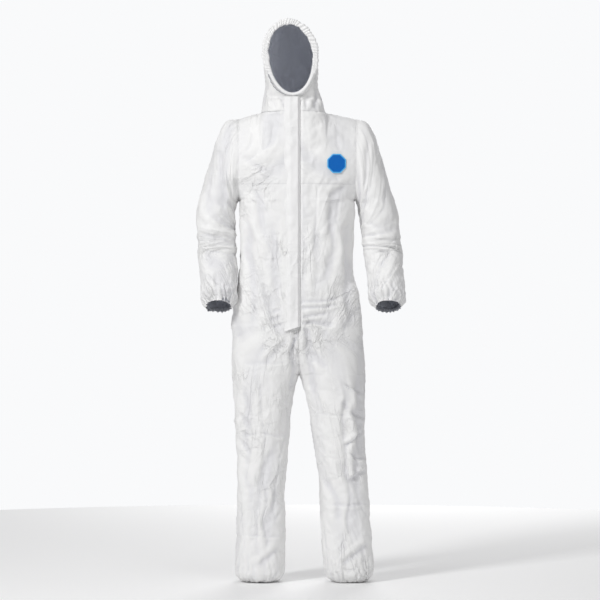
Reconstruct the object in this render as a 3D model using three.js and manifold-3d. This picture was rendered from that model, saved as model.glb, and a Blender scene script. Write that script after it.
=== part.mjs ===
// A hooded chemical protective coverall, standing as if worn: a white nonwoven shell sewn from
// panels, closed by a zip under a storm flap, gathered by elastic at face, waist, wrists and ankles.
// Millimetres. +Z is up, the chest faces -Y, +X is the wearer's left. The origin lies on the floor
// under the middle of the suit.

import * as THREE from 'three';
import { LoftGeometry } from 'three/addons/geometries/LoftGeometry.js';
import { mergeGeometries, mergeVertices } from 'three/addons/utils/BufferGeometryUtils.js';
import Module from 'manifold-3d';

const wasm = await Module();
wasm.setup();

// Driving dimensions.
const MIDDLE_X = 14; // the outline's middle, from the zip
const CLOTH = 2; // a wall of fabric with its crumple, as one layer
const GAP = 0.4; // between pieces that touch
const FRONT = 115; // the flat front of the chest stands this far forward
const CROTCH_Z = 650; // the hips end and the legs begin
const FORK_Z = 800; // the front and back crotch seams start to turn under
const KNEE_Z = 430;
const CHEST_SEAM_Z = 1242;
const WAIST_Z = 969;
const ARMPIT_Z = 1193;
const ARMHOLE_Z = 1321; // middle of the armhole
const SHOULDER_Z = 1449; // top of the armhole
const ARMHOLE_X = 182; // the armholes lie in the planes x = +-182
const ARMHOLE_DEPTH = 92;
const NECK_Z = 1467;
const NECK_X = -10; // the head of the suit leans to the wearer's right
const NECK_Y = -20;
const NECK_HALF = 103;
const NECK_BACK = 78;
const HOOD_TOP = 1752;
const HOOD_LEAN = 0.057;
const DOME_Z = 1640; // the hood's sides begin to close over the crown
const FACE_Z = 1630.5;
const FACE = { half: 66.5, rise: 104.5, y: -107 }; // the opening's inner edge
const CASING = { half: 9, depth: 11 }; // the gathered channel round the face
const ZIP = { top: 1494, bottom: 802, y: -110.6, gap: 7 };
const FLAP = { hinge: 11, free: -39, top: 1500, low: 779, high: 800, y: -122, thick: 2 };
const ELBOW_Z = 1078;
const FOREARM_BEND = 30; // degrees forward at the wrist
const FOREARM_PATH = [[0, 1078], [-9, 1020], [-34, 967], [-65, 914], [-96, 862]]; // [y, z]
const SLEEVE_SWAY = 20;
const WRIST = 38; // half width of the gathered cuff opening
const ANKLE_TURN = 34; // the ankle's hem turns in this far
const SLIDER = { z: 1480, wide: 11, deep: 8, high: 13 };
const PULL = { wide: 8, long: 30, thick: 1.2 };
const TOOTH_PITCH = 40;
const BADGE = { x: 123, y: -107.4, z: 1305, half: 30, thick: 1.2, turn: 10.5 };

// How half widths and depths change with height: [z, size].
const TRUNK_HALF = [[648, 207], [690, 210], [761, 206.5], [836, 204.5], [905, 195], [975, 180],
  [1061, 177], [1193, 182]];
const TRUNK_BACK = [[648, 108], [720, 120], [800, 124], [890, 113], [975, 99], [1100, 107],
  [1242, 114], [1321, 112]];
const LEG_OUTER = [[0, 213], [50, 216], [162, 210], [312, 203], [462, 201.5], [612, 206], [648, 207]];
const LEG_INNER = [[0, 68], [50, 63], [162, 57], [312, 54], [462, 36], [540, 27], [612, 14], [648, 1]];
const LEG_DEPTH = [[0, 77], [162, 78], [430, 84], [560, 97], [648, 106]];
const HOOD_HALF = [[1467, 103], [1498, 95], [1517, 90], [1535, 85], [1554, 82], [1600, 84], [1640, 84]];
const HOOD_BACK = [[1467, 78], [1500, 82], [1550, 104], [1600, 116], [1640, 118]];
// The sleeve's outer and inner edges seen from the front: [x, z] from the armhole to the elbow.
const SLEEVE_OUTER = [[182.8, 1449], [220, 1439], [252, 1385], [268, 1323], [291, 1248], [312, 1165],
  [319, ELBOW_Z]];
const SLEEVE_INNER = [[182.8, 1193], [186, 1184], [190, 1178], [194, 1168], [196, 1150], [197, 1118],
  [198, ELBOW_Z]];
const SLEEVE_DEPTH = [92, 91, 88, 84, 80, 77, 75];

const SIDES = [['left', 1], ['right', -1]];
const WHITE = new THREE.MeshStandardMaterial({ color: 0xeeeef0, roughness: 0.75, metalness: 0 });
const LABEL = new THREE.MeshStandardMaterial({ color: 0x0069c8, roughness: 0.5, metalness: 0 });
const RUBBER = new THREE.MeshStandardMaterial({ color: 0xe2e2df, roughness: 0.9, metalness: 0 });
const NYLON = new THREE.MeshStandardMaterial({ color: 0xf2f2f2, roughness: 0.45, metalness: 0 });

const suit = new THREE.Group();

function add(name, geometry, material = WHITE) {
  const mesh = new THREE.Mesh(geometry, material);
  mesh.name = name;
  suit.add(mesh);
  return mesh;
}

// ---- helpers ----------------------------------------------------------------------------------

const mix = THREE.MathUtils.lerp;
const ease = (t) => THREE.MathUtils.smoothstep(t, 0, 1);
const turned = (degrees) => THREE.MathUtils.degToRad(degrees);
const steps = (count) => Array.from({ length: count + 1 }, (_, i) => i / count);

/** A smooth value along [place, value] keys: a cubic through them whose slopes are the mean chords. */
function along(keys, place) {
  const last = keys.length - 1;
  const slope = (i) => {
    const [a, b] = [keys[Math.max(i - 1, 0)], keys[Math.min(i + 1, last)]];
    return (b[1] - a[1]) / (b[0] - a[0]);
  };
  const at = THREE.MathUtils.clamp(place, keys[0][0], keys[last][0]);
  const i = Math.min(keys.findIndex((key, k) => k === last || at <= keys[k + 1][0]), last - 1);
  const width = keys[i + 1][0] - keys[i][0];
  const t = (at - keys[i][0]) / width;
  const rise = keys[i + 1][1] - keys[i][1];
  const [m0, m1] = [slope(i) * width, slope(i + 1) * width];
  return keys[i][1] + t * (m0 + t * (3 * rise - 2 * m0 - m1 + t * (m0 + m1 - 2 * rise)));
}

/** The same cubic along a plain list, whose places are 0 to 1. */
const alongList = (list, t) => along(list.map((value, i) => [i / (list.length - 1), value]), t);

/** The legs stand a little to the wearer's left of the chest. */
const lean = (z) => 23 * Math.max(0, 1 - z / FORK_Z) ** 0.75;

/**
 * A wall of cloth between surface(u, v, 0) and surface(u, v, thick). u runs round the body
 * anticlockwise from above and v runs up, so the outside faces out.
 */
function cloth(surface, us, vs, { wrap = false, thick = CLOTH } = {}) {
  const wall = (inset) => us.map((u) => vs.map((v) => surface(u, v, inset)));
  const [outside, inside] = [wall(0), wall(thick)];
  const strips = us.map((_, i) => [...outside[i], ...[...inside[i]].reverse()]);
  if (wrap) return tidy(new LoftGeometry([...strips, strips[0]]));
  // Each open end is closed by rungs from the outside's edge to the inside's.
  const rungs = (from, to) => new LoftGeometry([from, to], { closed: false });
  const last = us.length - 1;
  return tidy(mergeGeometries([
    new LoftGeometry(strips),
    rungs(inside[0], outside[0]),
    rungs(outside[last], inside[last]),
  ]));
}

/** The bare surface with shared corners merged, turned outside out if its volume is negative. */
function tidy(geometry) {
  const bare = new THREE.BufferGeometry();
  bare.setAttribute('position', geometry.attributes.position);
  bare.setIndex(geometry.index);
  const merged = mergeVertices(bare, 1e-3);
  if (volume(merged) < 0) flip(merged);
  merged.computeVertexNormals();
  return merged;
}

function volume(geometry) {
  const { position } = geometry.attributes;
  const index = geometry.index.array;
  const corner = (i) => new THREE.Vector3().fromBufferAttribute(position, index[i]);
  let sum = 0;
  for (let i = 0; i < index.length; i += 3) {
    sum += corner(i).dot(corner(i + 1).cross(corner(i + 2)));
  }
  return sum / 6;
}

function flip(geometry) {
  const index = geometry.index.array;
  for (let i = 0; i < index.length; i += 3) {
    [index[i], index[i + 1]] = [index[i + 1], index[i]];
  }
}

/** A surface made for the wearer's left, carried to either side; the right one runs backwards. */
function onSide(side, surface) {
  return (u, v, inset) => {
    const point = surface(side > 0 ? u : 1 - u, v, inset);
    point.x *= side;
    return point;
  };
}

function solid(geometry) {
  const merged = tidy(geometry);
  return new wasm.Manifold(new wasm.Mesh({
    numProp: 3,
    vertProperties: new Float32Array(merged.attributes.position.array),
    triVerts: new Uint32Array(merged.index.array),
  }));
}

function fromSolid(manifold) {
  const { vertProperties, triVerts } = manifold.getMesh();
  const geometry = new THREE.BufferGeometry();
  geometry.setAttribute('position', new THREE.BufferAttribute(vertProperties, 3));
  geometry.setIndex(new THREE.BufferAttribute(triVerts, 1));
  geometry.computeVertexNormals();
  return geometry;
}

const box = (x, y, z, [cx, cy, cz]) => new THREE.BoxGeometry(x, y, z).translate(cx, cy, cz);

// ---- trunk ------------------------------------------------------------------------------------

/** Share of the upper trunk's rows under the armhole's middle, and of the lower trunk's under the fork. */
const CHEST_SHARE = 0.4;
const CROTCH_SHARE = 0.3;
/** Exponents: how square the waist and the neck's edge are, and how late the shoulder drops. */
const WAIST_SQUARE = 2.5;
const NECK_SQUARE = 0.77;
const SHOULDER_DROP = 1.2;

/** The neck hole's half width on one side of the zip. */
const neckSide = (side) => NECK_HALF + side * NECK_X;

/**
 * Where a trunk panel's column u stands across the chest: along the neck hole's edge for the
 * first half, as an angle, and along the shoulder for the second.
 */
function column(side, u, edge) {
  const start = Math.asin((edge - side * NECK_X) / NECK_HALF);
  if (u > 0.5) {
    const t = 2 * u - 1;
    return { x: mix(neckSide(side), ARMHOLE_X, t), drop: t, angle: Math.PI / 2 };
  }
  const angle = mix(start, Math.PI / 2, 2 * u);
  return { x: side * NECK_X + NECK_HALF * Math.sin(angle), drop: 0, angle };
}

/** Depth of the chest at x: full in the middle, the armhole's own depth at its edge. */
function chestDepth(x, z, full) {
  const height = Math.min((ARMHOLE_Z - z) / (ARMHOLE_Z - ARMPIT_Z), 1);
  const hole = ARMHOLE_DEPTH * Math.sqrt(1 - height ** 2);
  const round = 1 + 1.5 * (1 - hole / ARMHOLE_DEPTH) ** 2;
  return hole + (full - hole) * Math.max(0, 1 - x ** WAIST_SQUARE) ** (1 / round);
}

/**
 * The upper trunk, front (face -1) or back (face 1), from the chest seam (v 0) up to the neck
 * and the shoulder (v 1). Under the armhole's middle it is a level section; above, each column
 * closes in a quarter ellipse to the neck's oval or the shoulder line.
 */
function upperTrunk(side, face, edge) {
  return (u, v, inset) => {
    const { x, drop, angle } = column(side, u, edge);
    const full = face < 0 ? FRONT : along(TRUNK_BACK, ARMHOLE_Z);
    const across = Math.min(x / ARMHOLE_X, 1);
    const neckDepth = face < 0 ? FRONT + NECK_Y : NECK_BACK - NECK_Y;
    const neckY = NECK_Y + face * neckDepth * Math.max(Math.cos(angle), 0) ** NECK_SQUARE;
    const topY = mix(neckY, 0, drop);
    const topZ = mix(NECK_Z, SHOULDER_Z, drop ** SHOULDER_DROP) - GAP;
    const seamY = mix(NECK_Y, 0, drop);
    const apart = (y, seam) => seam + face * Math.max(face * (y - seam), GAP / 2);
    if (v < CHEST_SHARE) {
      const z = mix(CHEST_SEAM_Z + GAP, ARMHOLE_Z, v / CHEST_SHARE);
      const depth = chestDepth(across, z, face < 0 ? full : along(TRUNK_BACK, z));
      return new THREE.Vector3(x, apart(face * (depth - inset), 0), z);
    }
    const rise = Math.sin((v - CHEST_SHARE) / (1 - CHEST_SHARE) * Math.PI / 2);
    const chestY = face * chestDepth(across, ARMHOLE_Z, full);
    const y = mix(topY, chestY, Math.sqrt(1 - rise ** 2));
    // At the neck's edge the wall stands upright; on the shoulder it lies flat.
    const flat = ease(drop * 4) * rise;
    return new THREE.Vector3(
      x,
      apart(y - face * inset * (1 - 0.9 * flat), seamY * rise),
      mix(ARMHOLE_Z, topZ, rise) - inset * flat,
    );
  };
}

/**
 * The lower trunk, from the crotch (v 0) up to the chest seam (v 1). Above the fork it is a
 * rounded quarter of the waist; below, it turns into the half oval of a leg while the middle
 * seam runs back under the crotch.
 */
function lowerTrunk(side, face, gapAt) {
  return (u, v, inset) => {
    const turn = Math.max(1 - v / CROTCH_SHARE, 0) * Math.PI / 2;
    const z = v < CROTCH_SHARE
      ? FORK_Z - (FORK_Z - CROTCH_Z - GAP) * Math.sin(turn)
      : mix(FORK_Z, CHEST_SEAM_Z - GAP, (v - CROTCH_SHARE) / (1 - CROTCH_SHARE));
    const half = along(TRUNK_HALF, z) - inset;
    const depth = (face < 0 ? FRONT : along(TRUNK_BACK, z)) - inset;
    const gap = gapAt(z);
    const { x: columnX } = column(side, u, gap);
    const across = Math.min(columnX / ARMHOLE_X, 1);
    const chest = z > ARMPIT_Z
      ? chestDepth(across, z, depth + inset) - inset
      : depth * Math.max(0, 1 - across ** WAIST_SQUARE) ** (1 / WAIST_SQUARE);
    const trunk = new THREE.Vector2(Math.max(across * half, gap), chest);
    const leg = legOutline(z, u, inset);
    const under = 1 - Math.cos(turn);
    return new THREE.Vector3(
      side * lean(z) + Math.max(mix(trunk.x, leg.x, under), gap),
      face * Math.max(mix(trunk.y, leg.y, under), GAP / 2),
      z,
    );
  };
}

/** A leg's half oval from its inner edge (u 0) over the front or back to the outer edge (u 1). */
function legOutline(z, u, inset) {
  const angle = (u - 0.5) * Math.PI;
  const [outer, inner] = [along(LEG_OUTER, z), along(LEG_INNER, z)];
  const half = (outer - inner) / 2 - inset;
  return new THREE.Vector2((outer + inner) / 2 + half * Math.sin(angle),
    (along(LEG_DEPTH, z) - inset) * Math.cos(angle));
}

const zipGap = (z) => (z > ZIP.bottom - 22 ? ZIP.gap : GAP);
const PANEL_COLUMNS = [0, 0.12, 0.25, 0.37, 0.5, 0.63, 0.76, 0.88, 1];
const UPPER_ROWS = [0, 0.2, 0.4, 0.55, 0.7, 0.85, 1];
const HOOD_COLUMNS = [0, 0.15, 0.3, 0.42, 0.5, 0.6, 0.7, 0.8, 0.9, 1];
const HOOD_ROWS = [0, 0.1, 0.13, 0.17, 0.22, 0.33, 0.47, 0.6, 0.7, 0.8, 0.9, 1];
const FACE_STEPS = 28;
const LOWER_ROWS = [0, 0.1, 0.2, 0.3, 0.4, 0.5, 0.6, 0.7, 0.8, 0.9, 1];

for (const [name, side] of SIDES) {
  const hand = (surface) => onSide(side, surface);
  const behind = (surface) => onSide(side, (u, v, inset) => surface(1 - u, v, inset));
  add(`front_upper_${name}`, cloth(hand(upperTrunk(side, -1, ZIP.gap)), PANEL_COLUMNS, UPPER_ROWS));
  add(`front_lower_${name}`, cloth(hand(lowerTrunk(side, -1, zipGap)), PANEL_COLUMNS, LOWER_ROWS));
  add(`back_upper_${name}`, cloth(behind(upperTrunk(side, 1, GAP)), PANEL_COLUMNS, UPPER_ROWS));
  add(`back_lower_${name}`, cloth(behind(lowerTrunk(side, 1, () => GAP)), PANEL_COLUMNS, LOWER_ROWS));
}

// ---- tubes: sleeves and legs --------------------------------------------------------------------

/** A tube's outline is a superellipse of this power. */
const TUBE_SQUARE = 2.3;
/** The cuff's gather takes the last part of the forearm, down to the wrist. */
const CUFF_GATHER = 0.14;
const FOREARM_END = { half: 56, depth: 58 };
/** The cuff's elastic lies between these shares of the forearm, clear of the cloth. */
const CUFF_BAND = [0.01, 0.06];
const ELASTIC_GAP = 0.6;

/**
 * A tube of cloth through stations. Each station has a middle, a half width along `side`, and a
 * half depth along `back`; its outline is a slightly squared oval starting at the front.
 */
function tube(stationAt) {
  const round = 2 / TUBE_SQUARE;
  return (u, v, inset) => {
    const { middle, half, depth, side, back } = stationAt(v);
    const angle = 2 * Math.PI * u;
    const [sin, cos] = [Math.sin(angle), Math.cos(angle)];
    return middle.clone()
      .addScaledVector(side, (half - inset) * Math.sign(sin) * Math.abs(sin) ** round)
      .addScaledVector(back, -(depth - inset) * Math.sign(cos) * Math.abs(cos) ** round);
  };
}

/** A mirrored tube keeps the front at u 0, so it runs backwards from there. */
const tubeOnSide = (side, surface, shift = () => 0) => (u, v, inset) => {
  const point = surface(side > 0 ? u : (1 - u) % 1, v, inset);
  point.x = side * point.x + shift(point);
  return point;
};

/** Upper sleeve, from the elbow (v 0) to the armhole (v 1), between its two rails. */
function upperSleeve(v) {
  const t = 1 - v;
  const rail = (list) => new THREE.Vector3(
    alongList(list.map(([x]) => x), t), 0, alongList(list.map(([, z]) => z), t) + (v === 0 ? GAP : 0),
  );
  const [outer, inner] = [rail(SLEEVE_OUTER), rail(SLEEVE_INNER)];
  return {
    middle: outer.clone().add(inner).multiplyScalar(0.5),
    half: outer.distanceTo(inner) / 2,
    depth: alongList(SLEEVE_DEPTH, t),
    side: outer.clone().sub(inner).normalize(),
    back: new THREE.Vector3(0, 1, 0),
  };
}

/**
 * Forearm sleeve, from the cuff (v 0) to the elbow (v 1). Its middle bends forward along the
 * path, and it narrows to the wrist over the last seventh.
 */
function forearmSleeve(v) {
  const t = 1 - v;
  const bend = turned(FOREARM_BEND) * ease(t * 2);
  const gather = ease((t - 1 + CUFF_GATHER) / CUFF_GATHER);
  const elbow = upperSleeve(0);
  return {
    middle: new THREE.Vector3(
      elbow.middle.x + 4 * t,
      alongList(FOREARM_PATH.map(([y]) => y), t),
      alongList(FOREARM_PATH.map(([, z]) => z), t) - GAP,
    ),
    half: mix(mix(elbow.half, FOREARM_END.half, t), WRIST, gather),
    depth: mix(mix(elbow.depth, FOREARM_END.depth, t), WRIST, gather),
    side: new THREE.Vector3(1, 0, 0),
    back: new THREE.Vector3(0, Math.cos(bend), -Math.sin(bend)),
  };
}

/** A length of trouser leg between two heights. */
const leg = (low, high) => (v) => {
  const z = mix(low, high, v);
  const [outer, inner] = [along(LEG_OUTER, z), along(LEG_INNER, z)];
  const turn = 1 - Math.sqrt(1 - (1 - Math.min(z / ANKLE_TURN, 1)) ** 2);
  return {
    middle: new THREE.Vector3((outer + inner) / 2, 0, z),
    half: (outer - inner) / 2 - ANKLE_TURN * turn,
    depth: along(LEG_DEPTH, z) - ANKLE_TURN * turn,
    side: new THREE.Vector3(1, 0, 0),
    back: new THREE.Vector3(0, 1, 0),
  };
};

/** A copy of a tube's stations, drawn in by the cloth and a clearance, over part of its length. */
const within = (stationAt, low, high, clearance) => (v) => {
  const station = stationAt(mix(low, high, v));
  return {
    ...station,
    half: station.half - CLOTH - clearance,
    depth: station.depth - CLOTH - clearance,
  };
};

/** The ankle's elastic stands inside the turned hem as a straight ring. */
function ankleRing(v) {
  const hem = leg(0, KNEE_Z)(0);
  hem.middle.z = mix(0.5, 14, v);
  return { ...hem, half: hem.half - CLOTH - GAP, depth: hem.depth - CLOTH - GAP };
}

const ROUND = steps(20).slice(0, -1);
const TUBE = { wrap: true };
const BAND = { wrap: true, thick: 1.6 };
const SLEEVE_ROWS = steps(8);
const FOREARM_ROWS = [0, 0.05, 0.1, 0.15, 0.4, 0.6, 0.8, 1];
const SHIN_ROWS = [0, 0.01, 0.03, 0.08, 0.3, 0.65, 1];

/** Both sleeves hang swung a little towards the wearer's left. */
const sway = (point) => SLEEVE_SWAY * ease((ARMPIT_Z - point.z) / 330);
const stance = (point) => lean(point.z);

for (const [name, side] of SIDES) {
  const sleeve = (stations) => tubeOnSide(side, tube(stations), sway);
  const trouser = (stations) => tubeOnSide(side, tube(stations), stance);
  add(`upper_sleeve_${name}`, cloth(sleeve(upperSleeve), ROUND, SLEEVE_ROWS, TUBE));
  add(`forearm_sleeve_${name}`, cloth(sleeve(forearmSleeve), ROUND, FOREARM_ROWS, TUBE));
  add(`thigh_${name}`, cloth(trouser(leg(KNEE_Z + GAP, CROTCH_Z - GAP)), ROUND, steps(4), TUBE));
  add(`shin_${name}`, cloth(trouser(leg(0, KNEE_Z - GAP)), ROUND, SHIN_ROWS, TUBE));
  const cuff = sleeve(within(forearmSleeve, ...CUFF_BAND, ELASTIC_GAP));
  add(`cuff_elastic_${name}`, cloth(cuff, ROUND, [0, 1], BAND), RUBBER);
  add(`ankle_elastic_${name}`, cloth(trouser(ankleRing), ROUND, [0, 1], BAND), RUBBER);
}

// ---- hood ---------------------------------------------------------------------------------------

const hoodX = (z) => NECK_X - HOOD_LEAN * (z - NECK_Z);

/** Share of the hood's rows under the dome, and how full the dome is. */
const EAR_SHARE = 0.6;
const DOME_FULL = 0.8;
/** The hood's front edge runs this far outside the face ring; the chin starts at CHIN.z. */
const FACE_EDGE = 14;
const CHIN = { z: 1497, high: 12 };
const EAR_RISE = 100;

/** Half width of the face ring's middle line at a height, 0 above and below it. */
const ringHalf = (z, spread) => (FACE.half + spread)
  * Math.sqrt(Math.max(0, 1 - ((z - FACE_Z) / (FACE.rise + spread)) ** 2));

/**
 * One half of the hood from the neck (v 0) to the crown's line (v 1), u running from the front
 * edge over the ear to the back. Each level goes from the face ring (or the zip, under the chin)
 * in a quarter ellipse to the ear, and in another to the back; over the dome the levels shrink to
 * the crown's line.
 */
function hoodHalf(side) {
  return (u, v, inset) => {
    const close = Math.max(v - EAR_SHARE, 0) / (1 - EAR_SHARE) * Math.PI / 2;
    const shrink = Math.max(Math.cos(close), 0) ** DOME_FULL;
    const z = v < EAR_SHARE
      ? mix(NECK_Z + GAP, DOME_Z, v / EAR_SHARE)
      : DOME_Z + (HOOD_TOP - inset - DOME_Z) * Math.sin(close) ** DOME_FULL;
    const middle = side * hoodX(z);
    const half = (along(HOOD_HALF, z) - inset) * shrink;
    const chin = ease((z - CHIN.z) / CHIN.high);
    const edge = mix(ZIP.gap, middle + GAP, chin);
    const frontX = Math.max(middle + Math.min(ringHalf(z, FACE_EDGE), half), edge);
    const frontY = mix(inset - FRONT, FACE.y + CASING.depth + 1.5, chin);
    const earY = mix(NECK_Y, 0, ease((z - NECK_Z) / EAR_RISE));
    const backY = earY + (along(HOOD_BACK, z) - inset - earY) * shrink;
    const earX = Math.max(middle + half, frontX);
    const angle = (2 * u - (u < 0.5 ? 0 : 1)) * Math.PI / 2;
    return u < 0.5
      ? new THREE.Vector3(mix(frontX, earX, Math.sin(angle)), mix(earY, frontY, Math.cos(angle)), z)
      : new THREE.Vector3(
        Math.max(middle + half * Math.cos(angle), middle + GAP),
        mix(earY, backY, Math.sin(angle)),
        z,
      );
  };
}

/** A ring round the face: the profile's [out, back] points carried along an oval. */
function faceRing(profile) {
  const section = (turn) => profile.map(([out, back]) => {
    const z = FACE_Z + (FACE.rise + out) * Math.cos(turn);
    return new THREE.Vector3(hoodX(z) - (FACE.half + out) * Math.sin(turn), FACE.y + back, z);
  });
  const turns = steps(FACE_STEPS).map((t) => 2 * Math.PI * t);
  return tidy(new LoftGeometry(turns.map(section), { closed: true }));
}

for (const [name, side] of SIDES) {
  add(`hood_${name}`, cloth(onSide(side, hoodHalf(side)), HOOD_COLUMNS, HOOD_ROWS));
}

// The casing is a channel folded over the elastic, open at its outer back edge.
const { half: wide, depth: deep } = CASING;
add('face_casing', faceRing([[0, -deep + 4], [3, -deep], [2 * wide - 4, -deep], [2 * wide, -deep + 5],
  [2 * wide, 2], [2 * wide - 1.6, 2], [2 * wide - 1.6, -deep + 6], [2 * wide - 5, -deep + 1.6],
  [4, -deep + 1.6], [1.6, -deep + 5], [1.6, deep - 5], [4, deep - 1.6], [wide, deep - 1.6],
  [wide, deep], [3, deep], [0, deep - 4]]));
add('face_elastic', faceRing([[3, -4], [5, -4], [5, 4], [3, 4]]), RUBBER);

// ---- zip and storm flap ---------------------------------------------------------------------------

const zipHeight = ZIP.top - ZIP.bottom;
const zipMiddle = (ZIP.top + ZIP.bottom) / 2;
const TEETH = { near: 0.9, far: 2.4, thick: 2.4 };
const TAPE = { near: 2.7, far: 11, thick: 0.7, past: 2, under: 5 };
const STOP = { top: [1.6, 3, 4], bottom: [5, 3.4, 5] };
/** The slider's channel for the teeth, its slot for the tapes, its bridge and its post. */
const RUN = { channel: [5.6, 3.2], slot: 1.6, bridge: 1.1, post: 1.2, postHigh: 3.4, postZ: 2 };
const EYE = { outer: 3.6, inner: 1.6 };

/** One zip side's strip: a plain bar from `near` to `far` of the middle line. */
function zipStrip(side, { near, far, thick }, low, high) {
  const middle = [side * (near + far) / 2, ZIP.y, (low + high) / 2];
  return box(far - near, thick, high - low, middle);
}

/** A row of teeth on a spine: the spine is half as thick, and each tooth stands out of it. */
function teeth(side) {
  const spine = { ...TEETH, thick: TEETH.thick / 2 };
  let row = solid(zipStrip(side, spine, ZIP.bottom, ZIP.top));
  for (let z = ZIP.bottom + TOOTH_PITCH; z < ZIP.top - 1; z += TOOTH_PITCH) {
    row = row.add(solid(zipStrip(side, TEETH, z - TOOTH_PITCH / 4, z + TOOTH_PITCH / 4)));
  }
  return fromSolid(row);
}

for (const [name, side] of SIDES) {
  add(`zip_tape_${name}`, zipStrip(side, TAPE, ZIP.bottom - TAPE.under, ZIP.top + TAPE.past));
  add(`zip_teeth_${name}`, teeth(side), NYLON);
  add(`zip_top_stop_${name}`, box(...STOP.top, [side * 1.6, ZIP.y, ZIP.top + 2.5]), NYLON);
}
add('zip_bottom_stop', box(...STOP.bottom, [0, ZIP.y, ZIP.bottom - 3]), NYLON);

/** The slider: two plates joined by a bridge, a channel for the teeth, and a post for the pull. */
function slider() {
  const z = SLIDER.z;
  const body = solid(box(SLIDER.wide, SLIDER.deep, SLIDER.high, [0, ZIP.y, z]));
  const channel = solid(box(...RUN.channel, SLIDER.high + 2, [0, ZIP.y, z]));
  const slot = solid(box(SLIDER.wide + 2, RUN.slot, SLIDER.high + 2, [0, ZIP.y, z]));
  const post = new THREE.CylinderGeometry(RUN.post, RUN.post, RUN.postHigh, 16);
  post.translate(0, ZIP.y - SLIDER.deep / 2 - RUN.post, z + RUN.postZ);
  const bridge = solid(box(RUN.bridge, SLIDER.deep - 1, SLIDER.high, [0, ZIP.y, z]));
  return fromSolid(body.subtract(channel).subtract(slot).add(bridge).add(solid(post)));
}

/** The pull: a flat tongue with a round eye, hanging from the slider's post. */
function pull() {
  const outline = new THREE.Shape();
  outline.moveTo(-PULL.wide / 2, -PULL.long);
  outline.lineTo(PULL.wide / 2, -PULL.long);
  outline.lineTo(EYE.outer, 0);
  outline.absarc(0, 0, EYE.outer, 0, Math.PI, false);
  outline.closePath();
  outline.holes.push(new THREE.Path().absarc(0, 0, EYE.inner, 0, 2 * Math.PI, true));
  return new THREE.ExtrudeGeometry(outline, { depth: PULL.thick, bevelEnabled: false, curveSegments: 8 })
    .rotateX(Math.PI / 2)
    .translate(0, ZIP.y - SLIDER.deep / 2 - 0.8, SLIDER.z + RUN.postZ);
}

add('zip_slider', slider(), NYLON);
add('zip_pull', pull(), NYLON);

/** The storm flap stands off the slider and comes back to the chest at its sewn edge. */
function flap() {
  const { hinge, free, y, thick } = FLAP;
  const outline = new THREE.Shape([
    [free, y + 1], [free + 2, y], [hinge - 5, y], [hinge, -FRONT - 2.6], [hinge, -FRONT - 0.5],
    [hinge - 2, -FRONT - 0.5], [hinge - 6, y + thick], [free + 2, y + thick], [free, y + thick + 1],
  ].map(([x, depth]) => new THREE.Vector2(x, depth)));
  const whole = new THREE.ExtrudeGeometry(outline, {
    depth: FLAP.top - FLAP.low, bevelEnabled: false,
  }).translate(0, 0, FLAP.low);
  const slant = new THREE.Shape([[free - 1, FLAP.low - 1], [hinge + 1, FLAP.low - 1],
    [hinge + 1, FLAP.high]].map(([x, z]) => new THREE.Vector2(x, z)));
  const cutter = new THREE.ExtrudeGeometry(slant, { depth: 40, bevelEnabled: false })
    .rotateX(Math.PI / 2).translate(0, -100, 0);
  return fromSolid(solid(whole).subtract(solid(cutter)));
}
add('storm_flap', flap());
add('flap_seal_tape', box(12, 0.4, 640, [FLAP.free + 10, FLAP.y + FLAP.thick + 0.5, 1150]), NYLON);

// ---- badge, size label and waist elastic --------------------------------------------------------

const corner = BADGE.half / Math.cos(Math.PI / 8);
const badge = new THREE.CylinderGeometry(corner, corner, BADGE.thick, 8)
  .rotateY(Math.PI / 8 + turned(4))
  .rotateZ(turned(BADGE.turn))
  .translate(BADGE.x, BADGE.y, BADGE.z);
add('chest_badge', badge, LABEL);
add('size_label', box(38, 0.8, 34, [NECK_X, NECK_BACK - 5, NECK_Z - 22]));

/** The waist's elastic lies along the inside of the back from hip to hip; u is 0 at the spine. */
function waistBand(u, v, inset) {
  const side = u < 0 ? 1 : -1;
  const level = 0.3 + 0.7 * (WAIST_Z - FORK_Z + 12 * v) / (CHEST_SEAM_Z - FORK_Z);
  const point = lowerTrunk(side, 1, () => 0)(Math.abs(u), level, inset + CLOTH + GAP);
  point.x *= side;
  return point;
}
const waistColumns = steps(16).map((t) => mix(-0.82, 0.82, t));
add('waist_elastic', cloth(waistBand, waistColumns, [0, 1], { thick: 1.6 }), RUBBER);

// The frame's origin is under the middle of the whole outline, sleeves included.
suit.position.x = -MIDDLE_X;

export default suit;
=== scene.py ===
"""A hooded chemical protective coverall, standing as if worn. Metres; +Z up, the chest faces -Y.

The shell is worked out as parametric grids that share their seam points, given extra cloth and
buckled by one cloth simulation, then refined, folded, gathered and split into its sewn panels.
"""

import math

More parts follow.
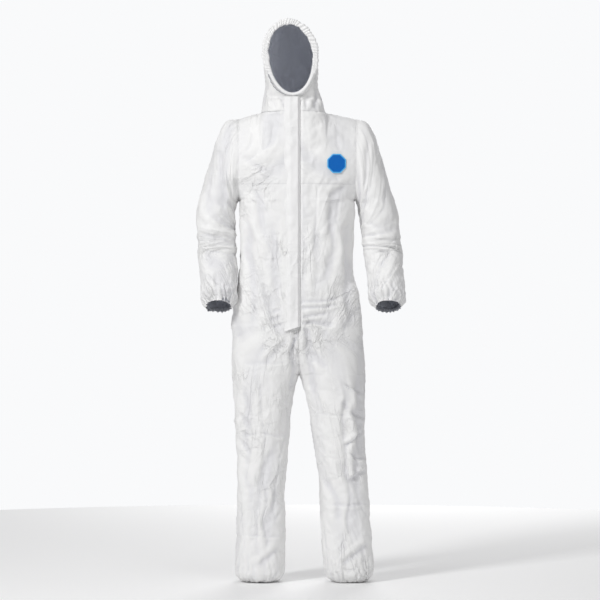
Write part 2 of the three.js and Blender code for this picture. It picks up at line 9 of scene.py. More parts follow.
import bpy
import numpy as np
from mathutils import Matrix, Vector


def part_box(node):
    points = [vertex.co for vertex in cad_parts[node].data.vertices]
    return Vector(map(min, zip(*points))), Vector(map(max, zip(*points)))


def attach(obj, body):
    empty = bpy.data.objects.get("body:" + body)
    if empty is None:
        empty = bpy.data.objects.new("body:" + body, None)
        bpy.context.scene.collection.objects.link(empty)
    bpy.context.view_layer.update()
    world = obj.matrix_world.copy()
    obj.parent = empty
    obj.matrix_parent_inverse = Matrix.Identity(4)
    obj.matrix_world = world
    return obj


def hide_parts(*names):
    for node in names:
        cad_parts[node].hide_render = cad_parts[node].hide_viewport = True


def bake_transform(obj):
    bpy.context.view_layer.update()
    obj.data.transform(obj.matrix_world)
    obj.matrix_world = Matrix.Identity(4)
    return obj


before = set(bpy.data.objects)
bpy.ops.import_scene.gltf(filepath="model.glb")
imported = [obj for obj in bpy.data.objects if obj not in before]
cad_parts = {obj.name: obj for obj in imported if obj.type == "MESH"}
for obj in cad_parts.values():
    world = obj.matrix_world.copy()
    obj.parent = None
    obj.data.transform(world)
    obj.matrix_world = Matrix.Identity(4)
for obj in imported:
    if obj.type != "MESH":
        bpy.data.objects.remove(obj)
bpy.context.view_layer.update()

# ---- driving dimensions, the same as the frame's -------------------------------------------------

MIDDLE_X = 0.014            # the frame's middle, from the zip
FRONT = 0.115
CROTCH_Z = 0.650
FORK_Z = 0.800
KNEE_Z = 0.430
CHEST_SEAM_Z = 1.242
ARMPIT_Z = 1.193
ARMHOLE_Z = 1.321
SHOULDER_Z = 1.449
ARMHOLE_X = 0.1824
ARMHOLE_DEPTH = 0.092
NECK_Z = 1.467
NECK_X = -0.010
NECK_Y = -0.020
NECK_HALF = 0.103
NECK_BACK = 0.078
HOOD_TOP = 1.752
HOOD_LEAN = 0.057
DOME_Z = 1.640
FACE_Z = 1.6305
FACE_HALF = 0.0665
FACE_RISE = 0.1045
FACE_Y = -0.107
ZIP_Y = -0.1106
ZIP_LOW = 0.802
ZIP_HIGH = 1.494
TOOTH_PITCH = 0.0024
ELBOW_Z = 1.078
FOREARM_BEND = math.radians(30)
SLEEVE_SWAY = 0.020
SLEEVE_LONG = 0.62
WRIST = 0.038
ANKLE_TURN = 0.034
SOFT_SQUARE = 2 / 2.3       # the power that squares a limb's oval a little
CLOTH = 0.0008              # a wall of the fabric
FLAP_SIDE = 0.014           # the flap's middle, to the wearer's right of the zip
FLAP_MIDDLE = -MIDDLE_X - FLAP_SIDE
FLAP_HALF = 0.025
FLAP_THICK = 0.0016
FLAP_SLANT = 0.021          # how much higher its end is at the sewn edge
FLAP_TUCK = 0.012           # how far it reaches up under the chin, past the frame's flap
BADGE_X = 0.123             # from the frame's middle
BADGE_Z = 1.305
WAIST_Z = 0.975
FLOOR_RADIUS = 3.0
FLOOR_Z = -0.001

# How the simulation is run.
HOLD = 0.30                 # how firmly loose cloth is held to its place
SIM_FRAMES = 28
FARTHEST = 0.015
SPARE = 2.2                 # how many times the written allowances the flat cut is given
SETTLED = 0.9               # the share of the simulated movement that is kept

LOWEST = 0.0005             # the cloth stops this far over the floor

CUFF_PLEATS = 17
HEM_PLEATS = 23
FACE_PLEATS = 44
WAIST_PLEATS = 15
CASING_PLEATS = 62

TRUNK_HALF = [[.648, .207], [.690, .210], [.761, .2065], [.836, .2045], [.905, .195], [.975, .180],
              [1.061, .177], [1.193, ARMHOLE_X]]
TRUNK_BACK = [[.648, .108], [.720, .120], [.800, .124], [.890, .113], [.975, .099], [1.100, .107],
              [1.242, .114], [1.321, .112]]
LEG_OUTER = [[0, .213], [.050, .216], [.162, .210], [.312, .203], [.462, .2015], [.612, .206],
             [.648, .207]]
LEG_INNER = [[0, .068], [.050, .063], [.162, .057], [.312, .054], [.462, .036], [.540, .027],
             [.612, .014], [CROTCH_Z, 0]]
LEG_DEPTH = [[0, .077], [.162, .078], [.430, .084], [.560, .097], [.648, .106]]
HOOD_HALF = [[1.467, .103], [1.498, .095], [1.517, .090], [1.535, .085], [1.554, .082], [1.600, .084],
             [1.640, .084]]
HOOD_BACK = [[1.467, .078], [1.500, .082], [1.550, .104], [1.600, .116], [1.640, .118]]
SLEEVE_OUTER = [[.1828, 1.449], [.220, 1.439], [.252, 1.385], [.268, 1.323], [.291, 1.248],
                [.312, 1.165], [.319, ELBOW_Z]]
SLEEVE_INNER = [[.1828, 1.193], [.186, 1.184], [.190, 1.178], [.194, 1.168], [.196, 1.150],
                [.197, 1.118], [.198, ELBOW_Z]]
SLEEVE_DEPTH = [.092, .091, .088, .084, .080, .077, .075]
FOREARM_PATH = [[0, 1.078], [-.009, 1.020], [-.034, .967], [-.065, .914], [-.096, .862]]

SIDES = [("left", 1), ("right", -1)]


# ---- small maths ---------------------------------------------------------------------------------

def bell(distance, width):
    """A Gaussian: 1 at no distance, 1/e at one width."""
    return np.exp(-(distance / width) ** 2)


def oval(angle, square):
    """Sine and cosine of an angle with their sizes raised to a power, which squares an oval."""
    sine, cosine = np.sin(angle), np.cos(angle)
    return np.sign(sine) * np.abs(sine) ** square, np.sign(cosine) * np.abs(cosine) ** square


def ease(t):
    """Smoothstep of t, held at 0 and 1 outside them."""
    t = np.clip(t, 0, 1)
    return t * t * (3 - 2 * t)


def mix(a, b, t):
    return a + (b - a) * t


def along(keys, place):
    """A cubic through [place, value] keys whose slopes are the mean chords of the neighbours."""
    x, y = np.array(keys, float).T
    below = np.r_[0, np.arange(len(x) - 1)]
    above = np.r_[np.arange(1, len(x)), len(x) - 1]
    slope = (y[above] - y[below]) / (x[above] - x[below])
    at = np.clip(place, x[0], x[-1])
    i = np.clip(np.searchsorted(x, at) - 1, 0, len(x) - 2)
    width = x[i + 1] - x[i]
    t = (at - x[i]) / width
    rise = y[i + 1] - y[i]
    m0, m1 = slope[i] * width, slope[i + 1] * width
    return y[i] + t * (m0 + t * (3 * rise - 2 * m0 - m1 + t * (m0 + m1 - 2 * rise)))


def along_list(values, t):
    """The same cubic along a plain list whose places run evenly from 0 to 1."""
    return along(list(zip(np.linspace(0, 1, len(values)), values)), t)


def stack(*parts):
    """Coordinates of any shapes that broadcast together, as one array of points."""
    return np.stack(np.broadcast_arrays(*parts), -1).astype(float)


def lean(z):
    """How far the legs stand to the wearer's left, growing from the fork to the floor."""
    return 0.023 * np.clip(1 - z / FORK_Z, 0, 1) ** 0.75


def sway(z):
    """How far the sleeves hang to the wearer's left, growing below the armpit."""
    return SLEEVE_SWAY * ease((ARMPIT_Z - z) / 0.330)


def hood_x(z):
    """The hood's middle line, which leans to the wearer's right."""
    return NECK_X - HOOD_LEAN * (z - NECK_Z)


# ---- the shell as grids --------------------------------------------------------------------------

NECK_COLUMNS = 17           # from the zip to the neck's side
SHOULDER_COLUMNS = 12       # from there to the armhole
CROTCH_ROWS = 17
TRUNK_ROWS = 49
ARMPIT_ROWS = 6
CHEST_ROWS = 10
YOKE_ROWS = 20
THIGH_ROWS = 27
SHIN_ROWS = 48
HEM_ROWS = 8
SLEEVE_ROWS = 36
FOREARM_ROWS = 32
HOOD_ROWS = 36
EAR_SHARE = 0.6


def columns(side):
    """
    The trunk's columns across one side of the chest. Up to the neck's side they follow the neck
    hole, halfway between even angles and even widths; past it they follow the shoulder.
    Returns x, the cosine of the neck's angle, and the way along the shoulder.
    """
    k = np.linspace(0, 1, NECK_COLUMNS)
    start = -side * NECK_X / NECK_HALF
    sine = mix(start, 1, mix(k, np.sin(k * np.pi / 2), 0.4))
    neck_x = side * NECK_X + NECK_HALF * sine
    drop = np.linspace(0, 1, SHOULDER_COLUMNS + 1)[1:]
    shoulder_x = mix(neck_x[-1], ARMHOLE_X, drop)
    cosine = np.sqrt(np.clip(1 - sine ** 2, 0, 1))
    return np.r_[neck_x, shoulder_x], np.r_[cosine, 0 * drop], np.r_[0 * k, drop]


def chest_depth(across, z, full):
    """
    Depth of the chest at a share of its half width: full in the middle and, at the edge, the
    armhole's own elliptical depth, through a superellipse that softens beside the hole.
    """
    height = np.clip((ARMHOLE_Z - z) / (ARMHOLE_Z - ARMPIT_Z), 0, 1)
    hole = ARMHOLE_DEPTH * np.sqrt(1 - height ** 2)
    round_ = 1 + 1.5 * (1 - hole / ARMHOLE_DEPTH) ** 2
    return hole + (full - hole) * np.clip(1 - across ** 2.5, 0, 1) ** (1 / round_)


def yoke_heights():
    """Rows above the chest seam: level up to the armhole's middle, then a quarter turn."""
    chest = np.linspace(CHEST_SEAM_Z, ARMHOLE_Z, CHEST_ROWS + 1)
    return chest, np.sin(np.linspace(0, np.pi / 2, YOKE_ROWS + 1))[1:]


def upper_trunk(side, face):
    """
    The front (face -1) or back (face 1) above the chest seam, rows going up and columns going
    out. Above the armhole's middle each column closes in a quarter ellipse to the neck's oval or
    to the shoulder line.
    """
    x, cosine, drop = columns(side)
    chest_z, rise = yoke_heights()
    across = np.clip(x / ARMHOLE_X, 0, 1)
    full = FRONT if face < 0 else along(TRUNK_BACK, ARMHOLE_Z)
    neck_depth = FRONT + NECK_Y if face < 0 else NECK_BACK - NECK_Y
    top_y = mix(NECK_Y + face * neck_depth * cosine ** 0.77, 0, drop)
    top_z = mix(NECK_Z, SHOULDER_Z, drop ** 1.2)
    depth = FRONT if face < 0 else along(TRUNK_BACK, chest_z)[:, None]
    level = stack(x, face * chest_depth(across, chest_z[:, None], depth), chest_z[:, None])
    chest_y = face * chest_depth(across, ARMHOLE_Z, full)
    lift = rise[:, None]
    closing = stack(x, mix(top_y, chest_y, np.sqrt(1 - lift ** 2)), mix(ARMHOLE_Z, top_z, lift))
    return np.concatenate([level, closing])


def trunk_heights():
    """Rows of the lower trunk: a quarter turn at the crotch, level rows, and closer armpit rows."""
    turn = np.linspace(np.pi / 2, 0, CROTCH_ROWS + 1)
    crotch = FORK_Z - (FORK_Z - CROTCH_Z) * np.sin(turn)
    trunk = np.linspace(FORK_Z, ARMPIT_Z, TRUNK_ROWS + 1)[1:]
    top = math.acos((ARMHOLE_Z - CHEST_SEAM_Z) / (ARMHOLE_Z - ARMPIT_Z))
    angle = top * (np.arange(1, ARMPIT_ROWS + 1) / ARMPIT_ROWS) ** 0.7
    armpit = ARMHOLE_Z - (ARMHOLE_Z - ARMPIT_Z) * np.cos(angle)
    under = np.r_[1 - np.cos(turn), 0 * trunk, 0 * armpit]
    return np.r_[crotch, trunk, armpit], under


def leg_oval(z, angle, squareness):
    """
    A leg's outline at a height: an oval between the inner and outer edges, angle 0 at the front,
    slightly squared, drawn in below the ankle's turn so the hem rolls under.
    """
    outer, inner = along(LEG_OUTER, z), along(LEG_INNER, z)
    turn = ANKLE_TURN * (1 - np.sqrt(1 - np.clip(1 - z / ANKLE_TURN, 0, 1) ** 2))
    half, depth = (outer - inner) / 2 - turn, along(LEG_DEPTH, z) - turn
    sine, cosine = oval(angle, squareness)
    return (outer + inner) / 2 + half * sine, -depth * cosine


def lower_half(side):
    """
    One side of the lower body, from the hem up to the chest seam. Columns go from the middle of
    the front round the outside to the middle of the back. In the leg the two end columns meet.
    """
    x, _, _ = columns(side)
    z, under = trunk_heights()
    count = len(x)
    across = np.clip(x / ARMHOLE_X, 0, 1)
    half = along(TRUNK_HALF, z)[:, None]
    faces = []
    for face in (-1, 1):
        full = FRONT + 0 * z if face < 0 else along(TRUNK_BACK, z)
        chest = np.where((z > ARMPIT_Z)[:, None], chest_depth(across, z[:, None], full[:, None]),
                         full[:, None] * np.clip(1 - across ** 2.5, 0, 1) ** 0.4)
        angle = (np.linspace(0, 1, count) - 0.5) * np.pi
        leg_x, leg_y = leg_oval(z[:, None], angle, 1.0)
        weight = under[:, None]
        faces.append(stack(mix(across * half, leg_x, weight),
                           mix(face * chest, np.abs(leg_y) * face, weight), z[:, None]))
    trunk = np.concatenate([faces[0], faces[1][:, -2::-1]], 1)
    hem = ANKLE_TURN * (1 - np.cos(np.linspace(0, np.pi / 2, HEM_ROWS + 1)))
    leg_z = np.r_[hem[:-1], np.linspace(ANKLE_TURN, KNEE_Z, SHIN_ROWS + 1)[:-1],
                  np.linspace(KNEE_Z, CROTCH_Z, THIGH_ROWS + 1)[:-1]]
    angle = np.r_[np.linspace(-0.5, 0.5, count), np.linspace(0.5, 1.5, count)[1:]] * np.pi
    squareness = mix(1.0, SOFT_SQUARE, ease((CROTCH_Z - leg_z) / 0.15))[:, None]
    leg_x, leg_y = leg_oval(leg_z[:, None], angle, squareness)
    leg_y[:, [0, count - 1, -1]] = 0
    return np.concatenate([stack(leg_x, leg_y, leg_z[:, None]), trunk])


def armhole_angles():
    """The armhole's points from the armpit up the front and down the back, as angles round it."""
    heights = np.r_[trunk_heights()[0][-ARMPIT_ROWS - 1:], yoke_heights()[0][1:],
                    ARMHOLE_Z + (SHOULDER_Z - ARMHOLE_Z) * yoke_heights()[1]]
    up = np.arccos(np.clip((ARMHOLE_Z - heights) / (ARMHOLE_Z - ARMPIT_Z), -1, 1))
    return np.r_[up, 2 * np.pi - up[-2::-1]]


def sleeve_stations():
    """
    The sleeve's stations from the armhole to the cuff: middle, half width, half depth, the
    directions out and back, and the length down the sleeve.
    """
    t = np.linspace(0, 1, SLEEVE_ROWS + 1)
    outer, inner = [stack(along_list([x for x, _ in keys], t), 0, along_list([z for _, z in keys], t))
                    for keys in (SLEEVE_OUTER, SLEEVE_INNER)]
    span = outer - inner
    half = np.linalg.norm(span, axis=1) / 2
    upper = {
        "middle": (outer + inner) / 2, "half": half, "depth": along_list(SLEEVE_DEPTH, t),
        "out": span / (2 * half[:, None]), "back": stack(0 * t, 1, 0),
    }
    s = np.linspace(0, 1, FOREARM_ROWS + 1)[1:]
    bend = FOREARM_BEND * ease(s * 2)
    gather = ease((s - 0.86) / 0.14)
    elbow_x = upper["middle"][-1, 0]
    lower = {
        "middle": stack(elbow_x + 0.004 * s, along_list([k[0] for k in FOREARM_PATH], s),
                        along_list([k[1] for k in FOREARM_PATH], s)),
        "half": mix(mix(half[-1], 0.056, s), WRIST, gather),
        "depth": mix(mix(upper["depth"][-1], 0.058, s), WRIST, gather),
        "out": stack(1 + 0 * s, 0, 0), "back": stack(0 * s, np.cos(bend), -np.sin(bend)),
    }
    return {key: np.concatenate([upper[key], lower[key]]) for key in upper}


def sleeve():
    """
    The whole sleeve, rows from the armhole to the cuff and columns from the underarm seam round
    the front, over the outside and back. Its outline goes from the armhole's ellipse to a
    slightly squared oval.
    """
    st = sleeve_stations()
    rows = len(st["half"])
    hole = armhole_angles()
    even = np.linspace(0, 2 * np.pi, len(hole))
    way = np.arange(rows) / (rows - 1)
    angle = mix(hole, even, ease(way / 0.4)[:, None])
    squareness = mix(1.0, SOFT_SQUARE, ease(way / 0.2))[:, None]
    sine, cosine = oval(angle, squareness)
    outward = -st["half"][:, None] * cosine
    backward = -st["depth"][:, None] * sine
    backward[:, [0, -1]] = 0
    points = st["middle"][:, None] + outward[..., None] * st["out"][:, None]
    points = points + backward[..., None] * st["back"][:, None]
    points[0, :, 0] = ARMHOLE_X
    return points


def ring_half(z, spread):
    """Half width at a height of the face opening's oval grown by spread."""
    return (FACE_HALF + spread) * np.sqrt(np.clip(1 - ((z - FACE_Z) / (FACE_RISE + spread)) ** 2, 0, 1))


def hood_half(side):
    """
    Half of the hood, rows from the neck to the crown's line and columns from the front edge over
    the ear to the back. Each level is a quarter ellipse from the face ring, or from the zip under
    the chin, to the ear, and another to the back; over the dome the levels shrink to the crown.
    """
    v = np.linspace(0, 1, HOOD_ROWS + 1)[:, None]
    close = np.clip(v - EAR_SHARE, 0, 1) / (1 - EAR_SHARE) * np.pi / 2
    shrink = np.clip(np.cos(close), 0, 1) ** 0.8
    z = np.where(v < EAR_SHARE, mix(NECK_Z, DOME_Z, v / EAR_SHARE),
                 DOME_Z + (HOOD_TOP - DOME_Z) * np.sin(close) ** 0.8)
    settled = ease((z - NECK_Z) / 0.03)
    middle = side * hood_x(z) * settled
    half = along(HOOD_HALF, z) * shrink
    chin = ease((z - 1.497) / 0.012)
    front_x = middle + np.minimum(ring_half(z, 0.012), half) * chin
    front_y = mix(-FRONT, FACE_Y + 0.010, chin)
    ear_x = side * hood_x(z) + half
    ear_y = mix(NECK_Y, 0, ease((z - NECK_Z) / 0.1))
    back_y = ear_y + (along(HOOD_BACK, z) - ear_y) * shrink
    start = -side * NECK_X / NECK_HALF * (1 - settled)
    k = np.linspace(0, 1, NECK_COLUMNS)
    sine = mix(start, 1, mix(k, np.sin(k * np.pi / 2), 0.4))
    cosine = np.sqrt(np.clip(1 - sine ** 2, 0, 1))
    way = (sine - start) / (1 - start)
    square = mix(0.77, 1, ease(v / 0.25))
    deep = cosine ** square
    front = stack(mix(front_x, np.maximum(ear_x, front_x), way), mix(ear_y, front_y, deep), z)
    back = stack(mix(middle, np.maximum(ear_x, front_x), way), mix(ear_y, back_y, deep), z)
    return np.concatenate([front, back[:, -2::-1]], 1)


# ---- the shell, welded from its grids ------------------------------------------------------------

PANELS = [f"{panel}_{name}" for name, _ in SIDES
          for panel in ("front_upper", "front_lower", "back_upper", "back_lower", "upper_sleeve",
                        "forearm_sleeve", "thigh", "shin", "hood")]
CHEST, LEG, SLEEVE = 0, 1, 10      # the kind of place a point is in; the gap keeps means apart


def extra_length(z):
    """Cloth to spare below a height, in metres: some everywhere, more at waist, crotch, knee, ankle."""
    heights = np.linspace(0, ARMPIT_Z, 400)
    bump = lambda middle, width, much: much * bell(heights - middle, width)
    rate = 0.020 + bump(0.985, 0.035, 0.10) + bump(0.80, 0.06, 0.035) + bump(0.45, 0.06, 0.06)
    rate = rate + bump(0.09, 0.05, 0.09) + bump(0.25, 0.08, 0.02)
    spare = np.cumsum(rate[::-1])[::-1] * (heights[1] - heights[0])
    return np.interp(z, heights, spare)


def cut_body(points):
    """The flat cut of trunk and legs: wider round the body and longer downwards than it stands."""
    z = points[..., 2]
    side = np.sign(points[..., 0])
    middle = side * (along(LEG_OUTER, z) + along(LEG_INNER, z)) / 2 * ease((CROTCH_Z - z) / 0.1)
    wider = 1 + 0.030 * ease((ARMPIT_Z - z) / 0.08)
    return stack(middle + (points[..., 0] - middle) * wider, points[..., 1] * wider, z - extra_length(z))


def cut_sleeve(points, stations):
    """The flat cut of a sleeve: wider than it hangs, and longer, most of all at the elbow."""
    middle = stations["middle"]
    step = np.diff(middle, axis=0, prepend=middle[:1])
    down = np.cumsum(np.linalg.norm(step, axis=1))
    at = lambda place, width, much: much * bell(down - place, width)
    rate = 0.03 * ease(down / 0.05) + at(0.10, 0.05, 0.05) + at(0.26, 0.07, 0.16) + at(0.42, 0.05, 0.08)
    longer = np.cumsum(step * rate[:, None], axis=0)[:, None]
    wider = 1 + 0.04 * ease(down / 0.08)[:, None, None]
    return middle[:, None] + (points - middle[:, None]) * wider + longer


def shell_parts():
    """
    Every grid of the shell: points and flat cut (rows, columns, 3), a panel number for each cell,
    the kind of place, and, round a limb, its turn and the way down it, as point arrays.
    """
    parts = []

    def add(points, cut, panel, kind, outward, turn=0.0, down=0.0):
        cells = np.broadcast_to(panel, (points.shape[0] - 1, points.shape[1] - 1))
        flat = [np.broadcast_to(a, points.shape[:2]) for a in (turn, down)]
        parts.append((points, cut, cells, kind, outward, *flat))

    for name, side in SIDES:
        number = {p.rsplit("_", 1)[0]: i for i, p in enumerate(PANELS) if p.endswith(name)}
        mirror = np.array([side, 1, 1])
        lower = lower_half(side)
        half = NECK_COLUMNS + SHOULDER_COLUMNS
        z = lower[:, 0, 2]
        row = np.where(z[:-1] < KNEE_Z - 1e-6, 0, np.where(z[:-1] < CROTCH_Z - 1e-6, 1, 2))[:, None]
        column = np.arange(lower.shape[1] - 1)[None] >= half - 1
        cells = np.select([row == 0, row == 1, ~column & (row == 2)],
                          [number["shin"], number["thigh"], number["front_lower"]], number["back_lower"])
        turn = np.linspace(-np.pi / 2, 3 * np.pi / 2, lower.shape[1])
        level = len(z) - ARMPIT_ROWS
        add(lower[:level] * mirror, cut_body(lower[:level]) * mirror, cells[:level - 1], LEG, side > 0,
            turn, z[:level, None])
        for face, panel in ((-1, "front"), (1, "back")):
            top = lower[level - 1:, :half] if face < 0 else lower[level - 1:, :half - 2:-1].copy()
            if face > 0:
                edge = lower[level - 1:, half - 1]
                top[:, -1] = top[:, -1] * np.array([1, 0, 1]) - edge * np.array([0, 1, 0])
            upper = upper_trunk(side, face)
            for points, share in ((top, "lower"), (upper, "upper")):
                add(points * mirror, cut_body(points) * mirror, number[f"{panel}_{share}"], CHEST,
                    (side > 0) == (face < 0))
        arm, stations = sleeve(), sleeve_stations()
        cells = np.where(np.arange(len(arm) - 1) < SLEEVE_ROWS, number["upper_sleeve"],
                         number["forearm_sleeve"])[:, None]
        down = np.linspace(0, 1, len(arm))[:, None]
        round_ = np.linspace(0, 2 * np.pi, arm.shape[1])
        add(arm * mirror, cut_sleeve(arm, stations) * mirror, cells, SLEEVE, side < 0, round_, down)
        hood = hood_half(side)
        add(hood * mirror, hood * mirror, number["hood"], CHEST, side > 0)
    return parts


def stance(points, kinds):
    """The sway of sleeves and the lean of legs, and the frame's middle."""
    moved = points.copy()
    z = points[:, 2]
    moved[:, 0] += np.where(kinds == SLEEVE, sway(z), lean(z)) - MIDDLE_X
    return moved


def weld():
    """
    One mesh from every grid. Points that fall together within 20 microns become one point, and
    cells that lose a corner that way become triangles.
    """
    points, cuts, quads, panels, kinds, turns, downs = [], [], [], [], [], [], []
    base = 0
    for grid, cut, cells, kind, outward, turn, down in shell_parts():
        rows, count = grid.shape[:2]
        index = base + np.arange(rows * count).reshape(rows, count)
        corner = [index[:-1, :-1], index[:-1, 1:], index[1:, 1:], index[1:, :-1]]
        quad = np.stack(corner, -1).reshape(-1, 4)
        quads.append(quad if outward else quad[:, ::-1])
        points.append(grid.reshape(-1, 3))
        cuts.append(cut.reshape(-1, 3))
        panels.append(cells.reshape(-1))
        kinds.append(np.full(rows * count, kind))
        turns.append(turn.reshape(-1))
        downs.append(down.reshape(-1))
        base += rows * count
    points, cuts, quads, panels, kinds, turns, downs = [
        np.concatenate(a) for a in (points, cuts, quads, panels, kinds, turns, downs)]
    _, first, merged = np.unique(np.round(points / 2e-5).astype(int), axis=0, return_index=True,
                                 return_inverse=True)
    merged = merged.reshape(-1)
    kinds = np.maximum.reduceat(kinds[np.argsort(merged, kind="stable")],
                                np.searchsorted(np.sort(merged), np.arange(len(first))))
    return {"rest": stance(points[first], kinds), "cut": stance(cuts[first], kinds), "kind": kinds,
            "turn": turns[first], "down": downs[first], "quads": merged[quads], "panel": panels}


def polygons(quads):
    """Quads as corner lists, without the repeated corners; cells with fewer than three are dropped."""
    same = quads == np.roll(quads, -1, axis=1)
    lost = same.sum(1)
    whole, triangle = lost == 0, lost == 1
    first = np.argmax(same[triangle], 1)
    three = (first[:, None] + np.array([1, 2, 3])) % 4
    triangles = np.take_along_axis(quads[triangle], three, 1)
    return quads[whole], triangles, np.r_[np.flatnonzero(whole), np.flatnonzero(triangle)]


def new_object(name, points, quads, triangles=None):
    """A mesh object at the origin from arrays of points, four-cornered and three-cornered faces."""
    triangles = np.zeros((0, 3), int) if triangles is None else triangles
    mesh = bpy.data.meshes.new(name)
    mesh.vertices.add(len(points))
    mesh.vertices.foreach_set("co", np.asarray(points, np.float32).reshape(-1))
    corners = np.r_[quads.reshape(-1), triangles.reshape(-1)]
    sizes = np.r_[np.full(len(quads), 4), np.full(len(triangles), 3)]
    mesh.loops.add(len(corners))
    mesh.loops.foreach_set("vertex_index", corners.astype(np.int32))
    mesh.polygons.add(len(sizes))
    mesh.polygons.foreach_set("loop_start", np.r_[0, np.cumsum(sizes)[:-1]].astype(np.int32))
    mesh.update(calc_edges=True)
    mesh.shade_smooth()
    mesh.validate()
    obj = bpy.data.objects.new(name, mesh)
    bpy.context.scene.collection.objects.link(obj)
    return obj


def attribute(obj, name, values, kind="FLOAT"):
    """Puts an array on a mesh's points, or on its faces for whole numbers."""
    domain = "FACE" if kind == "INT" else "POINT"
    made = obj.data.attributes.new(name, kind, domain)
    made.data.foreach_set("vector" if kind == "FLOAT_VECTOR" else "value", np.ravel(values))


def read_points(mesh):
    points = np.empty(len(mesh.vertices) * 3, np.float32)
    mesh.vertices.foreach_get("co", points)
    return points.reshape(-1, 3).astype(float)


def read_attribute(mesh, name, kind=float):
    data = mesh.attributes[name].data
    values = np.empty(len(data), np.int32 if kind is int else np.float32)
    data.foreach_get("value", values)
    return values


def normals_of(points, quads):
    """Point normals: the sum of the crossed diagonals of the faces round each point."""
    a, b, c, d = [points[quads[:, i]] for i in range(4)]
    face = np.cross(c - a, d - b)
    total = np.zeros_like(points)
    for i in range(4):
        for axis in range(3):
            total[:, axis] += np.bincount(quads[:, i], face[:, axis], len(points))
    return total / np.maximum(np.linalg.norm(total, axis=1, keepdims=True), 1e-12)


def waves(points, size, count, seed):
    """Smooth noise about -1 to 1: the mean of plane waves in random directions, about size long."""
    draw = np.random.default_rng(seed)
    direction = draw.normal(size=(count, 3))
    direction /= np.linalg.norm(direction, axis=1, keepdims=True)
    turns = 2 * np.pi / size * draw.uniform(0.6, 1.5, count)
    phase = draw.uniform(0, 2 * np.pi, count)
    return np.cos(points @ (direction * turns[:, None]).T + phase).sum(-1) / math.sqrt(count) * 1.2


def held(shell):
    """
    How firmly each point keeps its place, 0 to 1: the zip's strip, the face edge, the cuffs and
    the hems wholly, the seams a good deal, the label's place mostly, and the rest a little.
    """
    p = shell["rest"] + np.array([MIDDLE_X, 0, 0])
    x, y, z = p.T
    near = lambda distance, width: np.clip(1 - np.abs(distance) / width, 0, 1)
    front, chest = y < 0, shell["kind"] == CHEST
    zip_side = np.clip(np.abs(x + FLAP_SIDE) - 0.030, 0, 1)
    ring = np.hypot((x - hood_x(z)) / (FACE_HALF + 0.012), (z - FACE_Z) / (FACE_RISE + 0.012))
    badge = np.hypot(x - BADGE_X, z - BADGE_Z)
    places = [                  # how firmly, and how much of it at each point
        (1, ease(1 - zip_side / 0.016) * (front & (z > 0.78))),
        (1, ease(2.2 - 1.6 * ring) * (chest & front & (z > NECK_Z))),
        (0.85, near(z - NECK_Z, 0.010) * chest),
        (0.75, near(np.abs(x) - ARMHOLE_X, 0.006) * (z > ARMPIT_Z)),
        (0.75, near(y, 0.008) * (z > 1.40)),
        (0.70, near(z - CHEST_SEAM_Z, 0.006) * (chest & front)),
        (0.60, near(y, 0.006) * (shell["kind"] == LEG)),
        (0.97, ease(1.9 - badge / 0.034) * (front & chest)),
    ]
    hold = HOLD + np.max([(value - HOLD) * amount for value, amount in places], axis=0)
    hold = np.where(z < 0.012, 1, hold)
    return np.where((shell["kind"] == SLEEVE) & (shell["down"] > 0.985), 1, hold)


def buckle(shell):
    """
    One cloth simulation of the whole shell. The flat cut, as the springs' rest shape, is larger
    than the space, so the cloth buckles into folds; soft goals keep it near the worn shape. A
    point moves at most FARTHEST, through a tanh of its distance.
    """
    quads, triangles, _ = polygons(shell["quads"])
    rest = shell["rest"]
    start = rest + shell["normal"] * (0.0012 * waves(rest, 0.09, 14, 3))[:, None]
    obj = new_object("shell", start, quads, triangles)
    obj.shape_key_add(name="worn")
    cut = obj.shape_key_add(name="cut")
    spare = rest + (shell["cut"] - rest) * SPARE
    cut.data.foreach_set("co", spare.astype(np.float32).reshape(-1))
    cut.value = 0
    group = obj.vertex_groups.new(name="held")
    hold = np.round(held(shell), 2)
    for value in np.unique(hold):
        group.add(np.flatnonzero(hold == value).tolist(), float(value), "REPLACE")
    cloth = obj.modifiers.new("cloth", "CLOTH")
    settings = cloth.settings
    settings.quality = 6
    settings.mass = 0.05
    settings.tension_stiffness = settings.compression_stiffness = 30
    settings.shear_stiffness = 12
    settings.bending_stiffness = 0.5
    settings.tension_damping = settings.compression_damping = settings.shear_damping = 8
    settings.bending_damping = 0.5
    settings.air_damping = 2
    settings.vertex_group_mass = "held"
    settings.pin_stiffness = 0.5
    settings.shrink_min = -0.03
    settings.rest_shape_key = cut
    settings.effector_weights.gravity = 0.15
    cloth.collision_settings.use_collision = False
    cloth.collision_settings.use_self_collision = False
    cloth.point_cache.frame_start, cloth.point_cache.frame_end = 1, SIM_FRAMES
    scene = bpy.context.scene
    for number in range(1, SIM_FRAMES + 1):
        scene.frame_set(number)
    mesh = obj.evaluated_get(bpy.context.evaluated_depsgraph_get()).to_mesh()
    settled = read_points(mesh)
    scene.frame_set(1)
    bpy.data.objects.remove(obj)
    move = settled - rest
    far = np.linalg.norm(move, axis=1, keepdims=True)
    return move * np.tanh(far / FARTHEST) * FARTHEST / np.maximum(far, 1e-9) * SETTLED


# ---- folds, gathers and seams --------------------------------------------------------------------

